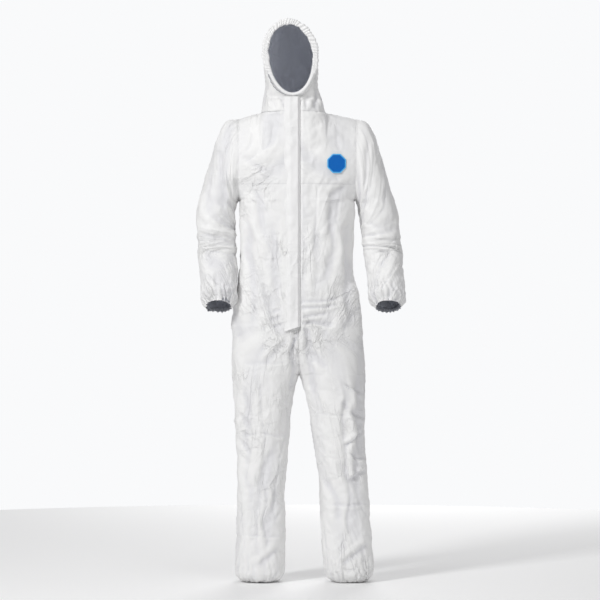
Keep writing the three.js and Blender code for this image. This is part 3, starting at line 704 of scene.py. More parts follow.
# Folds pressed into the front, each from (x, z) to (x, z) with a width and a depth, in metres
# from the zip: under the flap's end, beside the flap, in the legs and from the hood's chin.
FOLDS = [
    ((.012, .872), (.130, .886), .0060, .0030), ((.010, .851), (.122, .868), .0055, .0034),
    ((.012, .822), (.092, .842), .0050, .0030), ((.012, .806), (.124, .812), .0070, .0050),
    ((-.003, .790), (-.019, .716), .0080, .0058), ((-.019, .716), (-.026, .590), .0090, .0035),
    ((.016, .796), (.031, .733), .0080, .0058), ((.031, .733), (.050, .592), .0090, .0036),
    ((.040, .716), (.084, .668), .0080, .0030), ((-.035, .760), (-.100, .690), .0100, .0028),
    ((-.044, .858), (-.070, .850), .0050, .0016), ((-.044, .836), (-.082, .822), .0050, .0018),
    ((-.044, .812), (-.076, .796), .0050, .0016),
    ((-.120, 1.215), (-.085, .985), .0160, .0040), ((.120, 1.205), (.095, .930), .0170, .0042),
    ((-.150, 1.160), (-.135, .800), .0150, .0040), ((.158, 1.120), (.150, .820), .0150, .0040),
    ((-.075, 1.120), (-.060, .900), .0140, .0028), ((.060, 1.100), (.070, .915), .0140, .0030),
    ((-.170, 1.330), (-.105, 1.285), .0120, .0032), ((.170, 1.250), (.105, 1.205), .0120, .0030),
    ((-.165, .690), (-.040, .688), .0050, .0012), ((.060, .524), (.190, .526), .0045, .0012),
    ((-.180, .459), (-.050, .461), .0045, .0018), ((.080, .243), (.205, .241), .0045, .0018),
    ((-.185, .147), (-.070, .146), .0045, .0018),
    ((-.128, .640), (-.112, .120), .0060, .0022), ((.128, .640), (.150, .120), .0060, .0022),
    ((.185, .640), (.170, .300), .0110, .0062), ((-.180, .610), (-.165, .240), .0130, .0034),
    ((.160, .560), (.195, .400), .0080, .0056), ((-.090, .420), (-.135, .300), .0120, .0030),
    ((.100, .400), (.165, .300), .0120, .0032), ((.070, .330), (.120, .200), .0110, .0028),
    ((-.080, .300), (-.120, .110), .0120, .0028), ((.195, .120), (.120, .060), .0100, .0034),
    ((-.075, .110), (-.150, .050), .0100, .0032),
    ((.120, .560), (.200, .505), .0070, .0044), ((.196, .470), (.140, .430), .0060, .0044),
    ((.150, .410), (.205, .380), .0060, .0040), ((.200, .350), (.150, .320), .0070, .0040),
    ((.140, .620), (.205, .590), .0060, .0032), ((-.200, .520), (-.165, .480), .0060, .0036),
    ((-.195, .450), (-.160, .400), .0070, .0036),
    ((-.087, 1.556), (-.106, 1.484), .0070, .0040), ((-.076, 1.535), (-.070, 1.478), .0060, .0030),
    ((.062, 1.560), (.084, 1.484), .0070, .0040), ((.050, 1.532), (.052, 1.478), .0060, .0030),
    ((-.052, 1.520), (-.036, 1.474), .0055, .0024), ((.030, 1.516), (.026, 1.474), .0055, .0024),
]
# The same for the sleeves' fronts, by the way down the sleeve and the share across it.
ARM_FOLDS = [
    ((.06, -.9), (.20, .5), .07, .0042), ((.16, -.9), (.30, .7), .06, .0036),
    ((.30, .9), (.40, -.4), .06, .0034), ((.46, .9), (.50, -.9), .030, .0042),
    ((.52, -1), (.56, .8), .026, .0046), ((.585, 1), (.62, -.8), .026, .0044),
    ((.64, -1), (.70, .6), .030, .0038), ((.74, .9), (.80, -.5), .045, .0030),
    ((.83, -.8), (.90, .3), .04, .0024),
]


def crease(u, v, fold):
    """
    One pressed fold at points (u, v): a valley along the line with a lower ridge beside it, two
    Gaussians across, faded past both ends.
    """
    (u0, v0), (u1, v1), width, depth = fold
    along_u, along_v = u1 - u0, v1 - v0
    length = math.hypot(along_u, along_v)
    t = ((u - u0) * along_u + (v - v0) * along_v) / length ** 2
    q = ((u - u0) * along_v - (v - v0) * along_u) / length / width
    fade = bell(np.clip(np.abs(t - 0.5) - 0.32, 0, None), 0.16)
    return depth * fade * (0.75 * bell(q - 1.5, 1.1) - bell(q, 1))


def gathers(turn, pleats, wander):
    """Uneven pleats round a ring: a sharpened cosine of its turn, drifting with smooth noise."""
    wave = np.cos(pleats * turn + 2.4 * wander)
    return wave * np.abs(wave) ** 0.3 + 0.45 * np.cos((pleats * 1.7) * turn - 3.1 * wander)


def flow(worn, kind, turn, down, in_hood=False):
    """
    The cloth's pull lines as two lengths and a layer: u runs across them and v along them. On the
    trunk they fan out from the crotch, on legs they run down, on sleeves they wind down and lie
    level at the elbow, and on the hood they run down from the crown.
    """
    x, y, z = (worn + np.array([MIDDLE_X, 0, 0])).T
    x = x - np.where(kind == LEG, lean(worn[:, 2]), 0)
    layer = np.sign(y) * 0.31
    rise = z - 0.70
    reach = np.hypot(x, rise + 0.10)
    fan = ease((z - 0.70) / 0.12) * (1 - 0.65 * ease((z - 1.22) / 0.16))
    u = mix(x + 0.12 * (z - 0.4) * np.sign(x), np.arctan2(x, rise + 0.10) * 0.36, fan)
    v = mix(z, reach, fan)
    arm_u = turn * 0.068 + 0.30 * (down - 0.2)
    arm_v = down * SLEEVE_LONG
    level = bell(down - 0.55, 0.075) * 0.85
    arm = kind == SLEEVE
    hood = (kind == CHEST) & (in_hood | (worn[:, 2] > NECK_Z))
    hood_u = np.arctan2(x - hood_x(z), -y + 0.02) * 0.10
    u = np.select([arm, hood], [mix(arm_u, arm_v * 1.3, level), hood_u], u)
    v = np.select([arm, hood], [mix(arm_v, arm_u, level) + 0.9, z + 0.3], v)
    layer = np.select([arm, hood], [np.sign(x) * 0.47, 0.15 * np.sign(x - hood_x(z))], layer)
    return stack(u, v / 6, layer)


def crumple(place, size, sharp, seed):
    """Crease lines where smooth noise of the pull lines crosses zero: (1 - |noise| sharp) squared."""
    noise = waves(place, size, 22, seed)
    return np.clip(1 - np.abs(noise) * sharp, 0, 1) ** 2


def dress(points, normals, worn, kind, turn, down):
    """The displacement along the normals: folds, then gathers at every elastic; the seams follow in
    seam_groove.
    """
    x, y, z = (worn + np.array([MIDDLE_X, 0, 0]) - stack(np.where(kind == LEG, lean(worn[:, 2]), 0), 0, 0)).T
    wander = waves(worn, 0.06, 12, 11)
    warp = 0.009 * waves(worn, 0.11, 10, 12)
    front = ease(-normals[:, 1] * 2.2)
    body = kind != SLEEVE
    pull = flow(worn, kind, turn, down)
    patch = 0.45 + 0.55 * ease(0.5 + 0.9 * waves(worn, 0.16, 10, 41))
    calm = 1 - 0.85 * np.exp(-(np.hypot(x - BADGE_X, z - BADGE_Z) / 0.045) ** 4) * front
    move = 0.0022 * waves(pull, 0.085, 18, 42) * (0.4 + 0.6 * patch)
    move -= calm * patch * (0.0026 * crumple(pull, 0.080, 3.0, 43) - 0.0019 * crumple(pull, 0.060, 2.8, 44))
    move -= calm * patch * 0.0010 * crumple(pull + np.array([0, 0.4, 0]), 0.034, 1.7, 45)
    for fold in FOLDS:
        move += body * front * crease(x + 0.6 * warp, z + 0.4 * warp, fold) * 1.5
    for a, b, width, depth in ARM_FOLDS:
        for flip in (1, -1):
            facing = flip * np.sin(turn)
            across = np.cos(turn) * flip
            depth_here = depth * (1 if flip > 0 else 0.8)
            place = down + 0.012 * waves(worn, 0.08, 8, 13) + (0.03 if flip < 0 else 0)
            line = ((a[1] * 0.12, a[0]), (b[1] * 0.12, b[0]), width / 2.2, depth_here)
            move += (kind == SLEEVE) * ease(0.35 + 1.4 * facing) * crease(across * 0.12, place, line) * 0.6
    cuff = (kind == SLEEVE) * ease((down - 0.80) / 0.17)
    move += cuff * 0.0019 * gathers(turn, CUFF_PLEATS, wander)
    hem = (kind == LEG) * ease((0.13 - worn[:, 2]) / 0.11) * (worn[:, 2] < 0.13)
    move += hem * 0.0020 * gathers(turn, HEM_PLEATS, wander)
    u, w = worn[:, 0] + MIDDLE_X - hood_x(worn[:, 2]), worn[:, 2] - FACE_Z
    far = np.hypot(u / (FACE_HALF + 0.012), w / (FACE_RISE + 0.012))
    hood = (kind == CHEST) & (worn[:, 2] > NECK_Z + 0.03)
    face = hood * np.exp(-np.clip(far - 1, 0, None) / 0.22) * ease(-normals[:, 1] * 2 + 0.9)
    move += face * 0.0013 * gathers(np.arctan2(w, u), FACE_PLEATS, wander)
    rear = ease(y / 0.06) * bell(z - WAIST_Z, 0.030) * (kind == LEG) * (z > CROTCH_Z)
    move += rear * (0.0022 * gathers(x / 0.16, WAIST_PLEATS, wander) - 0.0035)
    return move


def seam_distance(worn, kind, turn, down):
    """How far each point is from the nearest sewn seam, in metres."""
    x, y, z = (worn + np.array([MIDDLE_X, 0, 0])).T
    x = x - np.where(kind == LEG, lean(worn[:, 2]), 0)
    chest, arm, leg = kind == CHEST, kind == SLEEVE, kind == LEG
    hood = chest & (z > NECK_Z)
    clear = np.where(leg | chest, np.maximum(np.abs(z - CHEST_SEAM_Z) - 0.0014, 0), 1)
    faint = [
        np.where(chest, np.abs(z - NECK_Z), 1),
        np.where(arm, down * SLEEVE_LONG, 1),
        np.where(chest & (z > ARMPIT_Z) & ~hood, np.abs(np.abs(x) - ARMHOLE_X), 1),
        np.where(chest & (z > 1.4) & ~hood, np.abs(y), 1), np.where(leg, np.abs(y) + (y > 0.07), 1),
        np.where(leg & (z > CROTCH_Z), np.abs(x), 1),
        np.where(arm, np.minimum(turn, 2 * np.pi - turn) * 0.06, 1),
        np.where(hood, np.abs(x - hood_x(z)), 1),
    ]
    return np.minimum(np.minimum.reduce(faint) + 0.0012, clear)


def refine(shell, points):
    """The buckled shell with one level of subdivision, its arrays carried along."""
    quads, triangles, order = polygons(shell["quads"])
    obj = new_object("fine", points, quads, triangles)
    attribute(obj, "panel", shell["panel"][order], "INT")
    attribute(obj, "worn", shell["rest"], "FLOAT_VECTOR")
    arrays = {"turn_x": np.cos(shell["turn"]), "turn_y": np.sin(shell["turn"]), "down": shell["down"],
              "kind": shell["kind"]}
    for name, values in arrays.items():
        attribute(obj, name, values)
    modifier = obj.modifiers.new("fine", "SUBSURF")
    modifier.levels = modifier.render_levels = 1
    mesh = obj.evaluated_get(bpy.context.evaluated_depsgraph_get()).to_mesh()
    corners = np.empty(len(mesh.loops), np.int32)
    mesh.loops.foreach_get("vertex_index", corners)
    worn = np.empty(len(mesh.vertices) * 3, np.float32)
    mesh.attributes["worn"].data.foreach_get("vector", worn)
    fine = {name: read_attribute(mesh, name) for name in arrays}
    fine.update(points=read_points(mesh), quads=corners.reshape(-1, 4),
                panel=read_attribute(mesh, "panel", int), worn=worn.reshape(-1, 3).astype(float))
    bpy.data.objects.remove(obj)
    return fine


def smooth(values, quads, rounds):
    """Repeated averages of each point with the mean of its faces' corners."""
    count = np.bincount(quads.reshape(-1), minlength=len(values))[:, None]
    for _ in range(rounds):
        face = values[quads].mean(1)
        total = np.stack([np.bincount(quads.reshape(-1), np.repeat(face[:, i], 4), len(values))
                          for i in range(values.shape[1])], 1)
        values = 0.5 * values + 0.5 * total / np.maximum(count, 1)
    return values


def settle(shell, move):
    """
    The movement smoothed where rows crowd at the crotch, and kept small beside the armholes and
    the neck seam, whose curves are the frame's.
    """
    x, y, z = (shell["rest"] + np.array([MIDDLE_X, 0, 0])).T
    body = shell["kind"] != SLEEVE
    crowded = body * ease((z - 0.625) / 0.015) * ease((0.80 - z) / 0.06)
    eased = smooth(move, shell["quads"], 10)
    move = mix(move, eased, crowded[:, None])
    reach = np.where(body, 0.030, 0.060)
    hole = bell(np.abs(x) - ARMHOLE_X, reach) * ease((z - ARMPIT_Z + 0.02) / 0.03) * (z < 1.47)
    neck = bell(z - NECK_Z, 0.020)
    return move * (1 - 0.8 * np.maximum(hole, neck * 0.7))[:, None]


def seam_groove(lift, seam, worn, kind, down):
    """
    The lift calmed beside the seams and, more widely, beside the armholes; then a shallow groove
    along each seam and small puckers beside it.
    """
    x, z = worn[:, 0] + MIDDLE_X, worn[:, 2]
    beside = np.where(kind == SLEEVE, down * SLEEVE_LONG, np.abs(np.abs(x) - ARMHOLE_X))
    by_hole = bell(beside, 0.034) * (kind != LEG) * (z > ARMPIT_Z - 0.02) * (z < 1.46)
    calmed = lift * (0.30 + 0.70 * ease((seam + 0.001) / 0.016)) * (1 - 0.85 * by_hole)
    puckers = 0.0006 * bell(seam, 0.014) * waves(worn, 0.016, 14, 17)
    return calmed - 0.0004 * bell(seam, 0.0030) + puckers


def make_shell():
    """The whole shell's final points, quads, normals, panels and pattern arrays."""
    shell = weld()
    shell["normal"] = normals_of(shell["rest"], shell["quads"])
    move = buckle(shell)
    fine = refine(shell, shell["rest"] + settle(shell, move))
    # A mean with the sleeve's kind belongs to the chest's first row beside the armhole.
    kind = np.select([fine["kind"] > 7.5, fine["kind"] > 1.5], [SLEEVE, CHEST], np.round(fine["kind"]))
    turn = np.arctan2(fine["turn_y"], fine["turn_x"]) % (2 * np.pi)
    worn, down, quads = fine["worn"], fine["down"], fine["quads"]
    normals = normals_of(fine["points"], quads)
    seam = seam_distance(worn, kind, turn, down)
    lift = seam_groove(dress(fine["points"], normals, worn, kind, turn, down), seam, worn, kind, down)
    points = keep_behind_flap(fine["points"] + normals * lift[:, None], worn, kind)
    points[:, 2] = np.maximum(points[:, 2], LOWEST)
    fine.update(points=points, normal=normals_of(points, quads), seam=seam, fold=lift, place=kind,
                turn=turn)
    return fine


def keep_behind_flap(points, worn, kind):
    """
    Under the storm flap the front lies no farther out than the frame's face, and along the zip it
    keeps behind the slider's run.
    """
    x = worn[:, 0]
    under = (np.abs(x - FLAP_MIDDLE) < FLAP_HALF + 0.004) & (worn[:, 1] < -0.05) & (worn[:, 2] > 0.77)
    under &= (kind != SLEEVE) & (worn[:, 2] < 1.505)
    limited = points.copy()
    run = np.exp(-((x[under] + MIDDLE_X) / 0.012) ** 4)
    limited[under, 1] = np.maximum(points[under, 1], -FRONT + 0.0095 * run)
    return limited


def wall(name, points, normals, quads, thickness=CLOTH):
    """
    A cloth wall: the outer surface, an inner copy moved in along the normals, and strips that
    join them along every open edge. Inner faces and strips take the second material.
    """
    used, local = np.unique(quads, return_inverse=True)
    outer = local.reshape(-1, 4)
    count = len(used)
    inner = outer[:, ::-1] + count
    edges = np.concatenate([outer[:, [i, (i + 1) % 4]] for i in range(4)])
    key = np.sort(edges, axis=1) @ np.array([count, 1])
    _, where, times = np.unique(key, return_index=True, return_counts=True)
    rim = edges[where[times == 1]]
    strips = np.stack([rim[:, 1], rim[:, 0], rim[:, 0] + count, rim[:, 1] + count], 1)
    place, normal = points[used], normals[used]
    obj = new_object(name, np.concatenate([place, place - normal * thickness]),
                     np.concatenate([outer, inner, strips]))
    index = np.r_[np.zeros(len(outer)), np.ones(len(inner) + len(strips))].astype(np.int32)
    obj.data.polygons.foreach_set("material_index", index)
    obj.data.normals_split_custom_set_from_vertices(np.concatenate([normal, -normal]).tolist())
    return obj, used


# ---- materials -----------------------------------------------------------------------------------

class Value:
    """A number that varies over a surface; arithmetic on it adds Math nodes."""

    def __init__(self, look, socket):
        self.look, self.socket = look, socket

    def maths(self, operation, *others):
        return self.look.node("ShaderNodeMath", {"operation": operation}, self, *others)[0]

    def __add__(self, other):
        return self.maths("ADD", other)

    def __sub__(self, other):
        return self.maths("SUBTRACT", other)

    def __rsub__(self, other):
        return self.look.node("ShaderNodeMath", {"operation": "SUBTRACT"}, other, self)[0]

    def __mul__(self, other):
        return self.maths("MULTIPLY", other)

    __radd__ = __add__
    __rmul__ = __mul__

    def between(self, low, high):
        """0 below low, 1 above high, straight between."""
        return self.look.node("ShaderNodeMapRange", {"clamp": True}, self, low, high)[0]


class Look:
    """A material under construction: one Principled shader and the nodes that feed it."""

    def __init__(self, name, **sockets):
        self.material = bpy.data.materials.new(name)
        self.material.use_nodes = True
        self.tree = self.material.node_tree
        self.shader = self.tree.nodes["Principled BSDF"]
        for key, value in sockets.items():
            label = key.replace("_", " ").title().replace("Ior", "IOR")
            self.shader.inputs[label].default_value = value
        self.here = self.node("ShaderNodeTexCoord", {})[3]

    def node(self, kind, settings, *values, **named):
        """A node: its settings first, then its sockets' values or links. Returns its outputs."""
        made = self.tree.nodes.new(kind)
        for key, value in settings.items():
            if key == "stops":
                self.stops(made.color_ramp, value)
            else:
                setattr(made, key, value)
        pairs = list(zip(made.inputs, values))
        pairs += [(made.inputs[key.replace("_", " ")], value) for key, value in named.items()]
        for socket, value in pairs:
            if isinstance(value, Value):
                self.tree.links.new(value.socket, socket)
            elif value is not None:
                socket.default_value = value
        return [Value(self, socket) for socket in made.outputs]

    def stops(self, ramp, stops):
        while len(ramp.elements) < len(stops):
            ramp.elements.new(0.5)
        for element, (place, colour) in zip(ramp.elements, stops):
            element.position = place
            element.color = (*colour, 1)

    def noise(self, scale, detail=3, place=None, **named):
        return self.node("ShaderNodeTexNoise", {}, Vector=place or self.here, Scale=scale,
                         Detail=float(detail), **named)[0]

    def colours(self, amount, first, second):
        """Mixes two colours; each is a triple or a link."""
        full = [c if isinstance(c, Value) else (*c, 1) for c in (first, second)]
        return self.node("ShaderNodeMix", {"data_type": "RGBA"}, amount, None, None, None, None, None,
                         *full)[2]

    def bump(self, height, distance, strength=1.0, under=None):
        return self.node("ShaderNodeBump", {}, Strength=strength, Distance=distance, Height=height,
                         Normal=under)[0]

    def done(self, colour, rough=None, normal=None):
        for key, value in (("Base Color", colour), ("Roughness", rough), ("Normal", normal)):
            if isinstance(value, Value):
                self.tree.links.new(value.socket, self.shader.inputs[key])
            elif value is not None:
                self.shader.inputs[key].default_value = value if key == "Roughness" else (*value, 1)
        return self.material


def nonwoven(name, light, shade, soil=0.04, sewn=True):
    """
    Flash-spun nonwoven: swirled fibres a millimetre wide in colour and height, a web of fine
    handling creases from distorted cell borders, painted cooler shade in the folds and along
    the seams, grey at the hems.
    """
    look = Look(name, roughness=0.62, specular_ior_level=0.35, sheen_weight=0.12, sheen_roughness=0.5)
    drift = look.noise(9.0, 2)
    twist = look.node("ShaderNodeTexNoise", {}, Vector=look.here, Scale=11.0, Detail=3.0)[1]
    bent = look.node("ShaderNodeMix", {"data_type": "VECTOR"}, 0.055, None, None, None, look.here, twist)[1]
    cells = look.node("ShaderNodeTexVoronoi", {"feature": "DISTANCE_TO_EDGE"}, Vector=bent, Scale=17.0)[0]
    small = look.node("ShaderNodeTexVoronoi", {"feature": "DISTANCE_TO_EDGE"}, Vector=bent, Scale=46.0)[0]
    creases = 1 - cells.between(0.0, 0.09)
    fine = 1 - small.between(0.0, 0.12)
    patch = look.noise(6.5, 2).between(0.45, 0.70)
    if sewn:
        pull = look.node("ShaderNodeAttribute", {"attribute_name": "flow"})[1]
        long_folds = look.noise(26.0, 3, place=pull, Distortion=0.5)
        hair_folds = look.noise(60.0, 2, place=pull, Distortion=0.3)
        lines_wide = 1 - (long_folds - 0.5).maths("ABSOLUTE").between(0.0, 0.030)
        lines_thin = 1 - (hair_folds - 0.5).maths("ABSOLUTE").between(0.0, 0.05)
    fibre = look.noise(520.0, 4, place=bent, Distortion=1.6)
    cloud = look.noise(38.0, 4)
    height = creases * 0.62 * patch + fine * 0.22 * patch + cloud * 0.18
    if sewn:
        height = height + long_folds * 0.55 - lines_wide * 0.75 * patch - lines_thin * 0.28 * patch
    normal = look.bump(fibre, 0.00022, 0.5, look.bump(height, 0.0045, 0.75))
    # Painted shade: the colour leans to the cooler shade colour where the fold displacement pushes the cloth
    # in, and a little of it everywhere at no displacement.
    fold = look.node("ShaderNodeAttribute", {"attribute_name": "fold"})[2]
    painted_fold_shade = (0.5 - fold * 160).between(0.35, 1.1)
    base = look.colours(painted_fold_shade * 0.55, light, shade)
    base = look.colours(fibre.between(0.35, 0.75) * 0.10, base, shade)
    if sewn:
        # Painted shade along the seams: within about a millimetre of a seam the colour darkens towards the
        # shade colour, beside the bumped groove.
        seam = look.node("ShaderNodeAttribute", {"attribute_name": "seam"})[2]
        line = 1 - seam.between(0.0006, 0.0018)
        base = look.colours(line * 0.16, base, tuple(0.72 * c for c in shade))
        normal = look.bump(1 - line, 0.0009, 0.6, normal)
    low = look.node("ShaderNodeSeparateXYZ", {}, look.here)[2]
    worn = (1 - low.between(0.0, 0.09)) * look.noise(24.0, 4).between(0.42, 0.70) * soil * 4
    base = look.colours(worn, base, (0.52, 0.51, 0.49))
    rough = 0.56 + cloud * 0.14 + worn * 0.2
    return look.done(base, rough, normal)


def woven(name, colour, dark, ribs=900.0, rough=0.7):
    """Narrow woven goods: two crossed sets of threads in colour and height, with uneven wear."""
    look = Look(name, roughness=rough, specular_ior_level=0.3)
    across = look.node("ShaderNodeTexWave", {"bands_direction": "Z"}, Vector=look.here, Scale=ribs / 6.28)[1]
    down = look.node("ShaderNodeTexWave", {"bands_direction": "X"}, Vector=look.here, Scale=ribs / 6.28)[1]
    thread = across * 0.6 + down * 0.4
    wear = look.noise(60.0, 4)
    base = look.colours(thread * 0.5 + wear * 0.3, dark, colour)
    return look.done(base, 0.6 + wear * 0.2, look.bump(thread + wear * 0.3, 0.0003, 0.6))


def plastic(name, colour, rough=0.38, scratch=0.4):
    """Moulded plastic: faint mottling, fine scratches in height and gloss, dust in the roughness."""
    look = Look(name, specular_ior_level=0.5)
    mottle = look.noise(240.0, 4)
    dust = look.noise(35.0, 4)
    lines = look.noise(900.0, 2, Distortion=2.0)
    base = look.colours(mottle.between(0.3, 0.8) * 0.12 + dust.between(0.6, 0.9) * 0.1, colour,
                        tuple(c * 0.72 for c in colour))
    return look.done(base, rough + dust * 0.15, look.bump(lines + mottle, 0.00012 * scratch, 0.6))


def label_film(name, blue, rim):
    """Printed film: blue inside, a paler rim by the piece's own edge attribute, an orange-peel gloss."""
    look = Look(name, specular_ior_level=0.15)
    edge = look.node("ShaderNodeAttribute", {"attribute_name": "edge"})[2]
    grain = look.noise(420.0, 4)
    cloud = look.noise(45.0, 3)
    inner = look.colours(cloud.between(0.3, 0.8) * 0.18, blue, tuple(c * 0.75 for c in blue))
    base = look.colours(edge.between(0.86, 0.90), inner, rim)
    return look.done(base, 0.34 + cloud * 0.16, look.bump(grain + cloud * 2.0, 0.00025, 0.5))


# ---- the smaller pieces --------------------------------------------------------------------------

def ring_mesh(name, section, rows, columns, material):
    """
    A closed tube or band: section(a, b) gives points for a round the ring and b round its
    section, both from 0 to 1 and both joined at their ends.
    """
    a, b = np.meshgrid(np.arange(rows) / rows, np.arange(columns) / columns, indexing="ij")
    points = section(a, b)
    index = np.arange(rows * columns).reshape(rows, columns)
    after, beside = np.roll(index, -1, 0), np.roll(index, -1, 1)
    quads = np.stack([index, beside, np.roll(after, -1, 1), after], -1).reshape(-1, 4)
    obj = new_object(name, points.reshape(-1, 3), quads)
    turn_out(obj)
    obj.data.materials.append(material)
    return obj


def turn_out(obj):
    """Turns a closed mesh's faces outwards if its signed volume is negative."""
    mesh = obj.data
    mesh.calc_loop_triangles()
    corners = np.empty(len(mesh.loop_triangles) * 3, np.int32)
    mesh.loop_triangles.foreach_get("vertices", corners)
    a, b, c = [read_points(mesh)[corners.reshape(-1, 3)[:, i]] for i in range(3)]
    if (a * np.cross(b, c)).sum() < 0:
        mesh.flip_normals()


def slab(name, front, back, material):
    """A thin closed piece between two grids of points, its edges joined by strips."""
    rows, columns = front.shape[:2]
    index = np.arange(rows * columns).reshape(rows, columns)
    face = np.stack([index[:-1, :-1], index[:-1, 1:], index[1:, 1:], index[1:, :-1]], -1).reshape(-1, 4)
    loop = np.r_[index[0, :-1], index[:-1, -1], index[-1, :0:-1], index[:0:-1, 0]]
    count = rows * columns
    strips = np.stack([loop, loop + count, np.roll(loop, -1) + count, np.roll(loop, -1)], 1)
    obj = new_object(name, np.concatenate([front.reshape(-1, 3), back.reshape(-1, 3)]),
                     np.concatenate([face, face[:, ::-1] + count, strips]))
    turn_out(obj)
    obj.data.materials.append(material)
    return obj


def face_casing(material):
    """
    The casing round the face: an oval ring, wider over the brow and narrower at the chin, whose
    section is a flattened tube. Over the top and sides pleats run slantwise across it, sharpened
    cosines of the turn with wandering phase, and a raised line follows its middle; below, they
    fade into a smooth roll whose outer edge lies back on the hood.
    """
    def section(a, b):
        turn, around = a * 2 * np.pi, b * 2 * np.pi
        base = stack(np.sin(turn), np.cos(turn), 0 * turn) * 0.1
        wander = waves(base, 0.045, 12, 21)
        sine, cosine = np.sin(around), np.cos(around)
        slant = turn + 0.05 * cosine + 0.01 * wander
        ruche = ease((np.cos(turn) + 0.52) / 0.30)
        pleat = np.cos(CASING_PLEATS * slant + 1.3 * wander)
        pleat = np.sign(pleat) * np.abs(pleat) ** 0.7 + 0.35 * np.cos(37 * slant - 1.1 * wander)
        pleat = pleat * (0.08 + 0.92 * ruche)
        lump = waves(base, 0.03, 12, 22) * ruche
        across = mix(0.0076, 0.0098, ruche) + 0.0015 * lump
        outer = np.clip(cosine, 0, 1)
        out = mix(0.0086, 0.0102, ruche) + cosine * across + 0.0009 * pleat * outer
        deep = -sine * mix(0.0044, 0.0062, ruche) - 0.0013 * pleat * np.abs(sine)
        deep = deep + (1 - ruche) * 0.0080 * outer ** 2
        deep = deep + 0.0018 * bell(cosine, 0.35) * np.clip(sine, 0, 1) * ruche
        low = np.clip(-np.cos(turn), 0, 1)
        high = np.clip(np.cos(turn), 0, 1)
        wide = (FACE_HALF + out) * (1 - 0.07 * low + 0.10 * high * (1 - high) * 2)
        z = FACE_Z + (FACE_RISE + out) * np.cos(turn)
        return stack(hood_x(z) - MIDDLE_X - wide * np.sin(turn), FACE_Y + 0.001 + deep, z)
    return ring_mesh("face_casing", section, 900, 26, material)


def band(name, middle, out, back, half, depth, high, thick, material, wave=0.0008):
    """
    An elastic band round an oval: middle, out and back set its plane, high its width along the
    normal, thick its wall. Rows of fine ribs run round it, and it ripples with the gathers.
    """
    up = np.cross(out, back)

    def section(a, b):
        turn, around = a * 2 * np.pi, b * 2 * np.pi
        y, x = oval(around, 0.4)
        wall_out = thick / 2 * x + wave * np.cos(34 * turn)
        sine, cosine = oval(turn, SOFT_SQUARE)
        u, v, rise = (half + wall_out) * sine, (depth + wall_out) * cosine, high / 2 * y
        return np.asarray(middle) + u[..., None] * out + v[..., None] * back + rise[..., None] * up
    return ring_mesh(name, section, 300, 20, material)


def cuff_band(side, name, material):
    """The wrist's elastic, inside the cuff's turn, a little up from its end."""
    st = sleeve_stations()
    at = -2
    middle, back = st["middle"][at].copy(), st["back"][at]
    middle[0] = side * middle[0] + sway(middle[2]) - MIDDLE_X
    half, depth = st["half"][at] - 0.0042, st["depth"][at] - 0.0042
    return band(name, middle, np.array([1.0, 0, 0]), back, half, depth, 0.008, 0.0012, material)


def ankle_band(side, name, material):
    """The ankle's elastic, inside the turned hem, level, just over its opening."""
    half = (along(LEG_OUTER, 0.0) - along(LEG_INNER, 0.0)) / 2 - ANKLE_TURN - 0.0040
    depth = along(LEG_DEPTH, 0.0) - ANKLE_TURN - 0.0040
    middle = [side * (along(LEG_OUTER, 0.0) + along(LEG_INNER, 0.0)) / 2 + lean(0.0) - MIDDLE_X, 0, 0.0075]
    return band(name, middle, np.array([1.0, 0, 0]), np.array([0, 1.0, 0]), half, depth, 0.013, 0.0012,
                material)


def waist_band(shell, material):
    """The waist's elastic, sewn inside the back from side to side, following the back's shape."""
    low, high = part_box("waist_elastic")
    worn, points, normal = shell["worn"], shell["points"], shell["normal"]
    near = (np.abs(worn[:, 2] - WAIST_Z) < 0.006) & (worn[:, 1] > 0.02) & (np.abs(worn[:, 0]) < 0.16)
    order = np.argsort(points[near, 0])
    x, y = points[near, 0][order], points[near, 1][order]
    t = np.linspace(low[0] + 0.002, high[0] - 0.002, 240)
    back = np.interp(t, x, y)
    back = np.convolve(np.pad(back, 4, "edge"), np.ones(9) / 9, "valid") - 0.0042
    z = np.linspace(low[2], high[2], 7)[:, None]
    rib = 0.0002 * np.cos(np.arange(7) * np.pi)[:, None]
    return slab("waist_elastic", stack(t, back + 0.0007 + rib, z), stack(t, back - 0.0007 + rib, z), material)


def flap_face(across, down):
    """
    The flap's outer face at shares across it, from its free edge, and along it, from its end. Both
    edges come back to the front; the end is slanted and its free corner curls forward.
    """
    low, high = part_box("storm_flap")
    x = mix(low[0], high[0], across)
    bottom = mix(low[2], low[2] + FLAP_SLANT, across)
    z = mix(bottom, high[2] + FLAP_TUCK, down)
    free = 1 - across
    to_seam, to_front = 0.0092 * ease((across - 0.82) / 0.18), 0.0085 * ease(1 - across / 0.42)
    ripple = waves(stack(x, 0, z / 3), 0.05, 12, 31) + 0.6 * waves(stack(x, 0, z / 2), 0.022, 12, 33)
    ripple *= 0.0017 * (0.3 + 0.7 * free) * (1 - ease((across - 0.7) / 0.3))
    curl = np.clip(1 - (z - bottom) / 0.026, 0, 1) ** 2
    y = low[1] + 0.0008 + to_seam + to_front + ripple - 0.0080 * curl * (0.35 + 0.65 * free)
    z = z + 0.0050 * curl * free
    y -= 0.0007 * bell(across - 0.06, 0.03)
    x = x + 0.0011 * waves(stack(0, 0, z), 0.14, 8, 32) * ease(free * 1.5)
    return stack(x, y, z)


def storm_flap(material):
    """
    The flap over the zip, standing off the slider from under the chin to its slanted end. Shallow
    ripples and a pressed edge; a wall of cloth twice as thick as the shell.
    """
    across, down = np.meshgrid(np.linspace(0, 1, 31), np.linspace(0, 1, 420))
    face = flap_face(across, down)
    bead = stack(0, 0.0004 * bell(across - 0.045, 0.018), 0)
    return slab("storm_flap", face - bead, face + np.array([0, FLAP_THICK, 0]), material)


